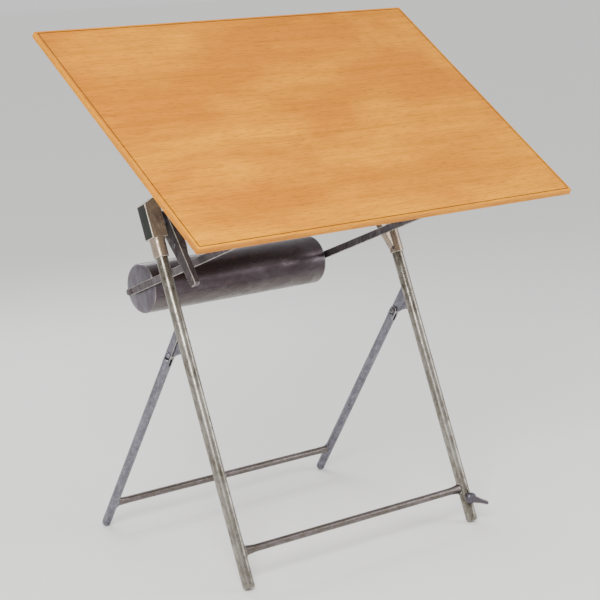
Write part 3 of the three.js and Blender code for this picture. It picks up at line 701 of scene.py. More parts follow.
def joined(*shapes):
    """Several closed shapes in one mesh, where they only touch or are welded."""
    whole = bmesh.new()
    for shape in shapes:
        mesh = bpy.data.meshes.new("joining")
        shape.to_mesh(mesh)
        shape.free()
        whole.from_mesh(mesh)
        bpy.data.meshes.remove(mesh)
    return whole


SMOOTH_BELOW = math.radians(42)


def keep(name, bm, place, body, slot_name, finish_name=None, nodes=()):
    """Makes the finished piece from a shape in a local frame, and lets it ride on its body."""
    transformed(bm, place)
    for face in bm.faces:
        face.smooth = True
    for edge in bm.edges:
        edge.smooth = edge.calc_face_angle(0) < SMOOTH_BELOW
    piece = new_object(bm, name)
    piece.data.materials.append(finish(finish_name or slot_name))
    modifier = piece.modifiers.new("even_normals", "WEIGHTED_NORMAL")
    modifier.keep_sharp = True
    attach(piece, body)
    if nodes:
        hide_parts(*nodes)
    return piece


def keep_node(node, bm, place, finish_name=None):
    """Makes the finished piece that stands for one CAD node."""
    return keep(f"{node}_shape", bm, place, BODY_OF[node], SLOT_OF[node], finish_name, (node,))


def weld_run(start, end, bead):
    """A rippled weld bead along a straight line."""
    way = Vector(end) - Vector(start)
    pitch = bead * 0.7
    count = max(4, round(way.length / pitch))
    profile = [(0, 0)]
    for i in range(1, count):
        profile.append((bead * (0.92 + 0.1 * (-1) ** i), way.length * i / count))
    profile.append((0, way.length))
    bm = turned(profile, 12)
    turn = way.to_track_quat("Z", "Y").to_matrix().to_4x4()
    transformed(bm, Matrix.Translation(start) @ turn)
    return bm


# Front and rear frames.

FLARE_RISE = 0.42  # how much taller than its pipe a crossbar's welded end is


def flare_at(x, end):
    """How much taller a crossbar is at x, where it widens towards its welded end."""
    reach = sizes().bar_flare / MM
    share = min(max((abs(x) - (end - reach)) / reach, 0), 1)
    return 1 + FLARE_RISE * share * share


def spaced(low, high, count):
    """Even stations from low, which is left out, to high."""
    return [low + (high - low) * i / count for i in range(1, count + 1)]


def crossbar(along, leg_radius):
    """A pipe between the legs, with ends that widen and are scooped to sit on them."""
    end = LEG_X - leg_radius
    bm = bmesh.new()
    bmesh.ops.create_circle(bm, cap_ends=False, segments=40, radius=CROSS_TUBE)
    turn = Matrix.Translation((-end, 0, 0)) @ Matrix.Rotation(math.pi / 2, 4, "Y")
    transformed(bm, turn)
    flare = sizes().bar_flare / MM
    stations = (
        spaced(-end, flare - end, 12) + spaced(flare - end, end - flare, 8)
        + spaced(end - flare, end, 12))
    edges = list(bm.edges)
    at = -end
    for station in stations:
        swept = bmesh.ops.extrude_edge_only(bm, edges=edges)["geom"]
        fresh = {item for item in swept if isinstance(item, bmesh.types.BMVert)}
        edges = [
            item for item in swept
            if isinstance(item, bmesh.types.BMEdge) and fresh.issuperset(item.verts)
        ]
        bmesh.ops.translate(bm, vec=(station - at, 0, 0), verts=list(fresh))
        at = station
    for vert in bm.verts:
        y = vert.co.y
        if abs(abs(vert.co.x) - end) < 0.01:
            reach = LEG_X - math.sqrt(leg_radius ** 2 - y ** 2) - GAP
            vert.co.x = math.copysign(reach, vert.co.x)
        vert.co.z *= flare_at(vert.co.x, end)
    bmesh.ops.recalc_face_normals(bm, faces=bm.faces)
    bmesh.ops.solidify(bm, geom=bm.faces, thickness=CROSS_TUBE - CROSS_BORE)
    bmesh.ops.recalc_face_normals(bm, faces=bm.faces)
    return moved(bm, z=along)


def weld_ring(sign, along, leg_radius):
    """The rippled bead where a crossbar meets a leg."""
    bead = sizes().weld_bead / MM
    bm = bmesh.new()
    bmesh.ops.create_circle(bm, cap_ends=False, segments=10, radius=bead)
    moved(bm, y=CROSS_TUBE)
    bmesh.ops.spin(
        bm, geom=list(bm.verts) + list(bm.edges), cent=(0, 0, 0), axis=(1, 0, 0), angle=math.tau,
        steps=80, use_merge=True)
    bmesh.ops.remove_doubles(bm, verts=bm.verts, dist=0.001)
    flare = flare_at(LEG_X, LEG_X - leg_radius)
    for vert in bm.verts:
        turn = math.atan2(vert.co.z, vert.co.y)
        y = CROSS_TUBE * math.cos(turn)
        ripple = 1 + 0.22 * math.sin(20 * turn) + 0.3 * noise.noise(vert.co * 0.2)
        centre = Vector((0, y, CROSS_TUBE * math.sin(turn)))
        vert.co = centre + (vert.co - centre) * ripple
        vert.co.x = sign * (LEG_X - math.sqrt(leg_radius ** 2 - y ** 2)) - sign * vert.co.x
        vert.co.z *= flare
    bmesh.ops.recalc_face_normals(bm, faces=bm.faces)
    return moved(bm, z=along)


def foot_low(radius, lean):
    """Height along a leaning leg at which its rounded foot meets the floor."""
    return (FOOT_ROUND + (radius - FOOT_ROUND) * math.sin(lean)) / math.cos(lean) - FOOT_ROUND


def foot(radius, bore, low, spigot_top):
    """A turned foot with a rounded sole and a spigot inside the pipe."""
    top = low + SHOE - GAP
    sole = arc((radius - FOOT_ROUND, low + FOOT_ROUND), FOOT_ROUND, -90, 0)
    return turned([
        (0, low), *sole, (radius, top), (bore - GAP, top), (bore - GAP, spigot_top - 1),
        (bore - GAP - 1, spigot_top), (0, spigot_top),
    ])


FRONT_FOOT = foot_low(FRONT_TUBE, LEG_LEAN)
HINGE_HEIGHT = HINGE.z / MM
REAR_FLOOR = -HINGE_HEIGHT / math.cos(REAR_LEAN)
REAR_FOOT = REAR_FLOOR + foot_low(REAR_TUBE, REAR_LEAN)
OPENING = LEG_LEAN + REAR_LEAN
INTO_FRONT = FRONT.inverted() @ SCREW
SLOT_HALF_TRAVEL, SLOT_HALF_WIDTH = 17, 5.6
SADDLE_RADIUS, SADDLE_BORE, SADDLE_INNER, SADDLE_OUTER = 10, 5.4, 8, 23.5
SCREW_RADIUS, SCREW_HOLE, SCREW_INNER = 4.9, 5.3, -6
SPIGOT, SLIDING_SPIGOT = 46, 24
WING_TURN = math.radians(-20)
# The wing bolt's hub, as (radius, height) from its seat on the saddle to its hollow crown.
HUB = (
    (9.4, SADDLE_OUTER + GAP), (10, 24.4), (11.6, 27.4), (15.4, 30.2), (16.6, 31.4), (17, 32.8),
    (17, 37.4), (16.3, 39.4), (12.8, 43.2), (11.2, 43.9), (5, 43.6), (3.2, 42.6), (0, 42.4),
)
WING_REACH, WING_TIP, WING_ROOT, WING_INNER, WING_THICK, WING_SWEEP = 46, 6.5, 15, 31, 9, 0.3


def slot_tool():
    """The cutter for the slot that the levelling screw travels in."""
    travel = SCREW.to_3x3().inverted() @ LEG_UP
    drift = SLOT_HALF_TRAVEL * travel.x / travel.y
    outline = rounded_bar((-drift, -SLOT_HALF_TRAVEL), (drift, SLOT_HALF_TRAVEL),
                          SLOT_HALF_WIDTH, SLOT_HALF_WIDTH)
    bm = extruded([(x, y, 0) for x, y in outline], (0, 0, 40))
    transformed(bm, INTO_FRONT)
    return bm


class DRAFTING_OT_front_legs(bpy.types.Operator):
    """Makes the two front legs; the right one is slotted for the levelling screw"""
    bl_idname = "drafting.front_legs"
    bl_label = "Front Legs"

    def execute(self, context):
        for side, sign in SIDES:
            leg = moved(
                tube(FRONT_TUBE, FRONT_BORE, FRONT_FOOT + SHOE, FRONT_LEG_TOP), x=sign * LEG_X)
            if side == "right":
                leg = carve(leg, [slot_tool()])
            keep_node(f"{side}_front_leg", leg, FRONT)
        return {"FINISHED"}


class DRAFTING_OT_crossbars(bpy.types.Operator):
    """Makes the crossbars and the weld beads at their ends"""
    bl_idname = "drafting.crossbars"
    bl_label = "Crossbars"

    def execute(self, context):
        rows = (
            ("front", FRONT_BAR_ALONG, FRONT_TUBE, FRONT),
            ("rear", REAR_FLOOR + REAR_BAR_ALONG, REAR_TUBE, REAR),
        )
        for end, along, radius, place in rows:
            node = f"{end}_crossbar"
            keep_node(node, crossbar(along, radius), place, "bar_steel")
            for side, sign in SIDES:
                keep(f"{end}_{side}_bar_weld", weld_ring(sign, along, radius), place,
                     BODY_OF[node], SLOT_OF[node])
        return {"FINISHED"}


class DRAFTING_OT_feet(bpy.types.Operator):
    """Makes the three fixed feet and the sliding levelling foot"""
    bl_idname = "drafting.feet"
    bl_label = "Feet"

    def execute(self, context):
        front = foot(FRONT_TUBE, FRONT_BORE, FRONT_FOOT, FRONT_FOOT + SPIGOT)
        keep_node("left_front_foot", moved(front, x=-LEG_X), FRONT)
        sliding = moved(
            foot(FRONT_TUBE, FRONT_BORE, FRONT_FOOT, SCREW_ALONG + SLIDING_SPIGOT), x=LEG_X)
        hole = rod(SCREW_HOLE, SCREW_INNER - 2, 30, 0)
        transformed(hole, INTO_FRONT)
        keep_node("levelling_foot", carve(sliding, [hole]), FRONT)
        for side, sign in SIDES:
            rear = foot(REAR_TUBE - 0.2, REAR_BORE, REAR_FOOT, REAR_FOOT + SPIGOT)
            keep_node(f"{side}_rear_foot", moved(rear, x=sign * LEG_X), REAR)
        return {"FINISHED"}


class DRAFTING_OT_levelling_screw(bpy.types.Operator):
    """Makes the wing bolt that holds the levelling foot, and its saddle washer"""
    bl_idname = "drafting.levelling_screw"
    bl_label = "Levelling Screw"

    def wing(self):
        """The long flat wing, swept away from the leg towards its tip."""
        reach, tip, root = WING_REACH, WING_TIP, WING_ROOT
        edge = bend((0, root), (reach / 3, tip + 2), (reach, tip))
        outline = (
            [(x, -y) for x, y in edge] + arc((reach, 0), tip, -90, 90, 10)[1:-1]
            + edge[::-1])
        shape = extruded([(x, y, WING_INNER) for x, y in outline], (0, 0, WING_THICK))
        soften(shape, 2.4, 4, 50)
        for vert in shape.verts:
            vert.co.z += WING_SWEEP * vert.co.x
        return shape

    def execute(self, context):
        bolt = turned([
            (0, SCREW_INNER), (SCREW_RADIUS - 1, SCREW_INNER), (SCREW_RADIUS, SCREW_INNER + 1),
            (SCREW_RADIUS, SADDLE_OUTER + GAP), *HUB,
        ])
        bolt = carve(bolt, [self.wing()], "UNION")
        turn = SCREW @ Matrix.Rotation(WING_TURN, 4, "Z")
        keep_node("wing_bolt", bolt, turn, "wing_steel")
        saddle = turned([
            (SADDLE_BORE, SADDLE_INNER), (SADDLE_RADIUS, SADDLE_INNER),
            (SADDLE_RADIUS, SADDLE_OUTER - 1.2), (SADDLE_RADIUS - 1.2, SADDLE_OUTER),
            (SADDLE_BORE + 0.8, SADDLE_OUTER), (SADDLE_BORE, SADDLE_OUTER - 0.8),
            (SADDLE_BORE, SADDLE_INNER),
        ])
        pipe = moved(rod(FRONT_TUBE + GAP, SCREW_ALONG - 40, SCREW_ALONG + 40, 0, 64), x=LEG_X)
        transformed(pipe, INTO_FRONT.inverted())
        keep_node("bolt_saddle", carve(saddle, [pipe]), SCREW)
        return {"FINISHED"}


GUSSET_HALF = 3
CHEEK_IN, CHEEK_OUT, CHEEK_HALF = 3.3, 7.3, 13
PIN_HOLE, PIN_RADIUS = 5.2, 4.9
REAR_BACK = Vector((math.cos(OPENING), math.sin(OPENING)))
REAR_UP = Vector((-math.sin(OPENING), math.cos(OPENING)))
HINGE_AT = Vector((HINGE_BEHIND, HINGE_ALONG))
# The gusset's lower edge leaves the leg here, is pulled hollow, and runs into the round nose
# this far below and in front of the bolt.
GUSSET_LOW, GUSSET_PULL, GUSSET_NOSE = 660, (45, 669), Vector((14, 12))
CHEEK_SHOULDER, CHEEK_FOOT, CHEEK_FOOT_HALF = -24, -40, 8
HINGE_SEAT = CHEEK_OUT + GAP
FOLD_BOLT_END, FOLD_BOLT_DOME, FOLD_NUT_RADIUS, FOLD_NUT_THICK = 9, 9.4, 8.5, 7


class DRAFTING_OT_hinges(bpy.types.Operator):
    """Makes the gusset plates, their welds, and the fold bolts with their nuts"""
    bl_idname = "drafting.hinges"
    bl_label = "Fold Hinges"

    def outline(self):
        """The gusset's outline, and how high up the leg it reaches."""
        leg_back = FRONT_TUBE + GAP
        apex_up = (HINGE_BEHIND + CHEEK_HALF * REAR_BACK.x - leg_back) / -REAR_UP.x
        apex = HINGE_AT + CHEEK_HALF * REAR_BACK + apex_up * REAR_UP
        bottom = bend((leg_back, GUSSET_LOW), GUSSET_PULL, HINGE_AT - GUSSET_NOSE)
        nose = arc(HINGE_AT, CHEEK_HALF, -135, math.degrees(OPENING), 12)
        return bottom[:-1] + nose + [tuple(apex)], apex.y

    def execute(self, context):
        edge = sizes().plate_edge / MM
        bead = sizes().weld_bead / MM
        outline, high = self.outline()
        seat = HINGE_SEAT
        weld_y = FRONT_TUBE + 0.4
        for side, sign in SIDES:
            x = sign * LEG_X
            shape = soften(plate(outline, x - GUSSET_HALF, x + GUSSET_HALF), edge)
            shape = carve(shape, [hole_across(PIN_HOLE, x, HINGE_AT)])
            keep_node(f"{side}_hinge_gusset", shape, FRONT)
            runs = [
                weld_run((weld_x, weld_y, GUSSET_LOW), (weld_x, weld_y, high - 4), bead)
                for weld_x in (x - 2.6, x + 2.6)
            ]
            keep(f"{side}_gusset_weld", joined(*runs), FRONT, "front_frame", "rear_frame_steel")
            end = -seat - FOLD_BOLT_END
            bolt = turned([
                (0, end), (PIN_RADIUS - 0.8, end), (PIN_RADIUS, end + 0.8), (PIN_RADIUS, seat),
                (FOLD_BOLT_DOME - 1, seat), *arc((0, seat - 3), FOLD_BOLT_DOME, 19, 90, 6),
            ], 40)
            keep_node(f"{side}_hinge_bolt", moved(along_x(bolt, sign), x, *HINGE_AT), FRONT)
            nut = soften(rod(FOLD_NUT_RADIUS, -seat - FOLD_NUT_THICK, -seat, 0, 6), 0.7)
            nut = carve(nut, [rod(PIN_HOLE, end - 1, 0, 0)])
            keep_node(f"{side}_hinge_nut", moved(along_x(nut, sign), x, *HINGE_AT), FRONT)
        return {"FINISHED"}


class DRAFTING_OT_rear_legs(bpy.types.Operator):
    """Makes the rear legs with the cheeks that straddle the gussets"""
    bl_idname = "drafting.rear_legs"
    bl_label = "Rear Legs"

    def tongue(self):
        """Outer cheek: rests on the back of the front leg when the table is open."""
        reach = HINGE_BEHIND - FRONT_TUBE - 2 * GAP
        high, low = (
            (reach + back * math.cos(OPENING)) / math.sin(OPENING)
            for back in (CHEEK_HALF, -CHEEK_HALF))
        return [
            (-CHEEK_FOOT_HALF, CHEEK_FOOT), (CHEEK_FOOT_HALF, CHEEK_FOOT),
            (CHEEK_HALF, CHEEK_SHOULDER), (CHEEK_HALF, high), (-CHEEK_HALF, low),
            (-CHEEK_HALF, CHEEK_SHOULDER),
        ]

    def execute(self, context):
        edge = sizes().plate_edge / MM
        bead = sizes().weld_bead / MM * 0.8
        short = rounded_bar((0, CHEEK_SHOULDER), (0, 0), CHEEK_HALF, CHEEK_HALF)
        for side, sign in SIDES:
            x = sign * LEG_X
            pipe = moved(tube(REAR_TUBE, REAR_BORE, REAR_FOOT + SHOE, -12, 1.5), x=x)
            cheeks = [
                soften(plate(outline, x + way * CHEEK_IN, x + way * CHEEK_OUT), edge)
                for outline, way in ((self.tongue(), sign), (short, -sign))
            ]
            leg = carve(pipe, cheeks, "UNION")
            slot = box(x - CHEEK_IN, x + CHEEK_IN, -20, 20, -30, 100)
            keep_node(f"{side}_rear_leg", carve(leg, [slot, hole_across(PIN_HOLE, x)]), REAR)
            weld_x = x + sign * 5.5
            runs = [
                weld_run((weld_x, way * 11.4, -37), (weld_x, way * 12.2, -13), bead)
                for way in (-1, 1)
            ]
            keep(f"{side}_cheek_weld", joined(*runs), REAR, "rear_frame", "rear_frame_steel")
        return {"FINISHED"}


# Heads.

HEAD_HALF, HEAD_LOW, HEAD_HIGH, HEAD_RISE, HEAD_OUT, HEAD_SLOPE_END = 21.5, 985, 1084, 20, 24, 22
# How far each box reaches inwards, its socket's radius and lower end, and where its screw sits.
HEADS = {
    "left": {"inward": 1, "reach": 26, "radius": 21.5, "low": 932, "turn": 60, "up": 16},
    "right": {"inward": -1, "reach": 60, "radius": 20.5, "low": 834, "turn": 205, "up": 14},
}
FLARE_LOW, FLARE_HALF = 846, 11


class DRAFTING_OT_heads(bpy.types.Operator):
    """Makes the head castings that carry the tilt shaft, and their grub screws"""
    bl_idname = "drafting.heads"
    bl_label = "Head Castings"

    def block(self, x, inward, reach):
        """The box on top, with a shoulder that slopes down to its outer side."""
        high = HEAD_HIGH + HEAD_RISE
        outline = [
            (x - inward * HEAD_OUT, HEAD_LOW), (x + inward * reach, HEAD_LOW),
            (x + inward * reach, high), (x + inward * HEAD_SLOPE_END, high),
            (x - inward * HEAD_OUT, HEAD_HIGH),
        ]
        return slab(outline, HEAD_HALF)

    def flare(self, x, reach, radius):
        """The web that widens inwards from the right socket to its box."""
        inner, wide, high = x - reach + 1, reach - radius - 1, HEAD_LOW - 4
        curve = [
            (inner + wide * t ** 1.25, high - (high - FLARE_LOW) * t)
            for t in (i / 8 for i in range(9))
        ]
        return slab([(inner, HEAD_LOW + 5), *curve, (x, FLARE_LOW), (x, HEAD_LOW + 5)], FLARE_HALF)

    def execute(self, context):
        edge = sizes().casting_edge / MM
        for side, sign in SIDES:
            x = sign * LEG_X
            head = HEADS[side]
            radius, low = head["radius"], head["low"]
            shape = soften(self.block(x, head["inward"], head["reach"]), edge, 3, 30)
            socket = soften(turned([
                (0, low), (radius, low), (radius, HEAD_LOW - 8), (radius + 1.4, HEAD_LOW - 3),
                (radius + 1.6, HEAD_LOW + 5), (0, HEAD_LOW + 5),
            ], 56), 1.4, 3, 50)
            parts = [moved(socket, x=x)]
            if side == "right":
                parts.append(soften(self.flare(x, head["reach"], radius), 5, 4, 40, worn=False))
            shape = carve(shape, parts, "UNION")
            near = FRONT_TUBE + GAP
            bore = moved(rod(near, low - 10, FRONT_LEG_TOP + GAP, 0, 56), x=x)
            shaft = hole_across(SHAFT_BORE, 0, (0, SHAFT_ALONG), SHAFT_END + 1, 40)
            turn = Matrix.Translation((x, 0, low + head["up"])) @ Matrix.Rotation(
                math.radians(head["turn"]), 4, "Z")
            drilled = along_x(rod(BOLT_RADIUS + GAP, 10, 40, 0, 24))
            transformed(drilled, turn)
            shape = carve(shape, [bore, shaft, drilled])
            for face in shape.faces:
                outer = sign * face.calc_center_median().x > LEG_X + HEAD_OUT - 0.1
                face.material_index = 1 if outer else 0
            piece = keep_node(f"{side}_head", shape, FRONT)
            piece.data.materials.append(finish("blackened_iron"))
            driver_slot = box(-5, 5, -0.5, 0.5, near + 1.5, near + 3)
            screw = carve(rod(BOLT_RADIUS, near, near + 2.6, 0.4, 24), [driver_slot])
            keep_node(f"{side}_head_screw", transformed(along_x(screw), turn), FRONT)
        return {"FINISHED"}


# Board and what hangs from it.

SCORE_INSIDE, SCORE_HALF, SCORE_DEPTH = 10, 1.6, 0.9


class DRAFTING_OT_board(bpy.types.Operator):
    """Makes the drawing board with rounded corners and a scored line round its face"""
    bl_idname = "drafting.board"
    bl_label = "Drawing Board"

    def score(self, half_length, away, quarters):
        """Cutter for the scored line along one edge; quarters turns it from the far edge."""
        cutter = plate([
            (away - SCORE_HALF, 1), (away - SCORE_HALF, 0), (away, -SCORE_DEPTH),
            (away + SCORE_HALF, 0), (away + SCORE_HALF, 1),
        ], -half_length, half_length)
        transformed(cutter, Matrix.Rotation(quarters * math.pi / 2, 4, "Z"))
        return moved(cutter, 0, -BOARD_FORWARD, BOARD_TOP)

    def execute(self, context):
        half_x, half_y = BOARD_WIDTH / 2, BOARD_DEPTH / 2
        bm = box(-half_x, half_x, -half_y - BOARD_FORWARD, half_y - BOARD_FORWARD,
                 BOARD_TOP - BOARD_THICK, BOARD_TOP)
        round_over(bm, edges_along(bm, 2), BOARD_CORNER, 8)
        soften(bm, sizes().board_arris / MM, 3, 60, worn=False)
        in_x, in_y = half_x - SCORE_INSIDE, half_y - SCORE_INSIDE
        bm = carve(bm, [
            self.score(half_length, away, quarters) for half_length, away, quarters in
            ((in_x, in_y, 0), (in_x, in_y, 2), (in_y, in_x, 1), (in_y, in_x, 3))
        ])
        # The walls of the scored line are marked for painted shade in the groove.
        bm.normal_update()
        layer = wear_and_painted_light_layer(bm)
        for face in bm.faces:
            x, y, z = face.calc_center_median()
            inside = abs(x) < in_x + 3 and abs(y + BOARD_FORWARD) < in_y + 3
            if inside and z > BOARD_TOP - SCORE_DEPTH and face.normal.z < 0.95:
                face[layer] = 1
        bm.normal_update()
        for face in bm.faces:
            face.material_index = 1
            if abs(face.normal.z) > 0.8:
                face.material_index = 0 if face.normal.z > 0 else 2
        piece = keep_node("drawing_board", bm, BOARD)
        piece.data.materials.append(finish("board_edge"))
        piece.data.materials.append(finish("board_underside"))
        return {"FINISHED"}


SCREW_SPOTS = (-330, 0, 330)
SCREW_SINK, SCREW_HEAD, SCREW_SHANK = 12, 6, 2.5
BOLT_DEPTH, BOLT_HEAD, BOLT_HEAD_THICK = 26, 8, 4.5


class DRAFTING_OT_battens(bpy.types.Operator):
    """Makes the two battens under the board and the screws sunk in them"""
    bl_idname = "drafting.battens"
    bl_label = "Battens"

    def execute(self, context):
        low = BATTEN_TOP - BATTEN_HEIGHT
        for side, sign in SIDES:
            inner, outer = sign * (BATTEN_OUTER - BATTEN_WIDTH), sign * BATTEN_OUTER
            middle = (inner + outer) / 2
            batten = soften(box(
                inner, outer, -BOARD_FORWARD - BATTEN_LENGTH / 2,
                -BOARD_FORWARD + BATTEN_LENGTH / 2, low, BATTEN_TOP), 1.5, 2, 60)
            tools = [
                moved(rod(radius, start, end, 0), middle, y) for y in SCREW_SPOTS
                for radius, start, end in (
                    (SCREW_HEAD + GAP, low - 1, low + SCREW_SINK),
                    (SCREW_SHANK + GAP, low, BATTEN_TOP + 1))
            ]
            for bolt in (ARM_BOLT, (-BRACKET_BOLT, BATTEN_MIDDLE), (BRACKET_BOLT, BATTEN_MIDDLE)):
                hole = along_x(rod(BOLT_RADIUS + GAP, -BOLT_DEPTH - 2, 5, 0), sign)
                tools.append(moved(hole, sign * BATTEN_OUTER, *bolt))
            keep_node(f"{side}_batten", carve(batten, tools), BOARD)
            seat = low + SCREW_SINK
            for index, y in enumerate(SCREW_SPOTS, 1):
                screw = turned([
                    (0, seat - 4), (4.6, seat - 3.8), (SCREW_HEAD, seat - 3),
                    (SCREW_HEAD, seat - 1.6), (SCREW_SHANK, seat + 1.5),
                    (SCREW_SHANK, BATTEN_TOP - GAP), (0, BATTEN_TOP - GAP),
                ], 24)
                screw = carve(screw, [box(-7, 7, -0.6, 0.6, seat - 6, seat - 2.6)])
                transformed(screw, Matrix.Rotation(math.radians(25 * index * sign), 4, "Z"))
                keep_node(f"{side}_board_screw_{index}", moved(screw, middle, y), BOARD)
        return {"FINISHED"}


def hex_bolt(shank, low, seat, across, thick):
    """A bolt along Z: a shank from low to seat and a hexagonal head with a chamfered crown."""
    head = rod(across, seat, seat + thick, 0, 6)
    crown = turned([
        (0, seat - 1), (across + 1, seat - 1), (across + 1, seat + thick - 1.6),
        (across * 0.8, seat + thick), (0, seat + thick)], 40)
    head = carve(head, [crown], "INTERSECT")
    return carve(rod(shank, low, seat + 1, 0.5, 24), [head], "UNION")


def board_bolt(seat, sign, spot):
    """One of the bolts that fasten a bracket or an arm to a batten at (y, z)."""
    bolt = hex_bolt(BOLT_RADIUS, BATTEN_OUTER - BOLT_DEPTH, seat, BOLT_HEAD, BOLT_HEAD_THICK)
    return moved(along_x(bolt, sign), 0, *spot)


class DRAFTING_OT_brackets(bpy.types.Operator):
    """Makes the brackets that carry the board on the tilt shaft, their hubs and bolts"""
    bl_idname = "drafting.brackets"
    bl_label = "Board Brackets"

    def execute(self, context):
        edge = sizes().plate_edge / MM
        low, high = BATTEN_MIDDLE - 14, BATTEN_MIDDLE + 14
        rib, window_low, window_high = 22.8, 60, low - 26
        outline = arc((0, 0), BRACKET_HUB, 160, 380, 24) + [
            (BRACKET_BASE, low), (BRACKET_BASE, high), (-BRACKET_BASE, high), (-BRACKET_BASE, low)]

        def half_width(up):
            return BRACKET_HUB + (BRACKET_BASE - BRACKET_HUB) * up / low - rib

        window = [
            (-half_width(window_low), window_low), (half_width(window_low), window_low),
            (half_width(window_high), window_high), (-half_width(window_high), window_high)]
        for side, sign in SIDES:
            near, far = sign * ARM_INNER, sign * (ARM_INNER + BRACKET_THICK)
            x = (near + far) / 2
            opening = plate(window, x - 10, x + 10)
            round_over(opening, edges_along(opening, 0), 8, 6)
            shape = soften(carve(plate(outline, near, far), [opening]), edge, 2, 50)
            tools = [hole_across(SHAFT_BORE, x, steps=40)] + [
                hole_across(BOLT_RADIUS + GAP, x, (y, BATTEN_MIDDLE))
                for y in (-BRACKET_BOLT, BRACKET_BOLT)
            ]
            keep_node(f"{side}_bracket", carve(shape, tools), BOARD)
            start = ARM_INNER + BRACKET_THICK + GAP
            hub = turned([
                (SHAFT_BORE, start), (HUB_RADIUS, start), (HUB_RADIUS, start + 9),
                (HUB_RADIUS - 1.5, start + 11), (HUB_RADIUS - 4, HUB_END),
                (SHAFT_RADIUS + 1, HUB_END), (SHAFT_BORE, HUB_END - 0.9), (SHAFT_BORE, start),
            ])
            keep_node(f"{side}_hub", along_x(hub, sign), BOARD)
            for end, y in (("front", -BRACKET_BOLT), ("rear", BRACKET_BOLT)):
                bolt = board_bolt(start, sign, (y, BATTEN_MIDDLE))
                keep_node(f"{side}_bracket_{end}_bolt", bolt, BOARD)
        return {"FINISHED"}


class DRAFTING_OT_arms(bpy.types.Operator):
    """Makes the long flat arms between the drum and the board's front, and their bolts"""
    bl_idname = "drafting.arms"
    bl_label = "Counterweight Arms"

    def execute(self, context):
        edge = sizes().plate_edge / MM
        narrow = DRUM_BOLT + 24 * ARM_WAY
        half_width = ARM_HALF_WIDTH * Vector((-ARM_WAY.y, ARM_WAY.x))
        turn = math.degrees(ARM_ANGLE)
        outline = (
            arc(ARM_BOLT, ARM_HALF_WIDTH, turn - 90, turn + 90, 12) + [tuple(narrow + half_width)]
            + arc(DRUM_BOLT, ARM_END, turn + 90, turn + 270, 12) + [tuple(narrow - half_width)])
        for side, sign in SIDES:
            near, far = sign * ARM_INNER, sign * (ARM_INNER + ARM_THICK)
            arm = soften(plate(outline, near, far), edge * 1.3)
            tools = [
                hole_across(radius + GAP, (near + far) / 2, spot) for radius, spot in (
                    (BOLT_RADIUS, ARM_BOLT), (DRUM_BOLT_RADIUS, DRUM_BOLT),
                    (DRUM_PIN_RADIUS, DRUM_PIN))
            ]
            keep_node(f"{side}_arm", carve(arm, tools), BOARD)
            seat = ARM_INNER + ARM_THICK + GAP
            keep_node(f"{side}_arm_bolt", board_bolt(seat, sign, ARM_BOLT), BOARD)
            bolt = hex_bolt(DRUM_BOLT_RADIUS, DRUM_HALF - DRUM_CAP - 10, seat, 9.6, 7)
            keep_node(f"{side}_drum_bolt", moved(along_x(bolt, sign), 0, *DRUM_BOLT), BOARD,
                      "pressed_steel")
            pin = rod(DRUM_PIN_RADIUS, DRUM_HALF - DRUM_CAP - 4, seat + 1.5, 0.6, 24)
            keep_node(f"{side}_drum_pin", moved(along_x(pin, sign), 0, *DRUM_PIN), BOARD)
        return {"FINISHED"}


DRUM_WALL, CAP_ROUND, CAP_CROWN = 4, 9.5, 2.5
FLOOR_REFLECTION_SHARE = 0.2  # how pale the drum's underside is painted: a painted reflection of the bright floor


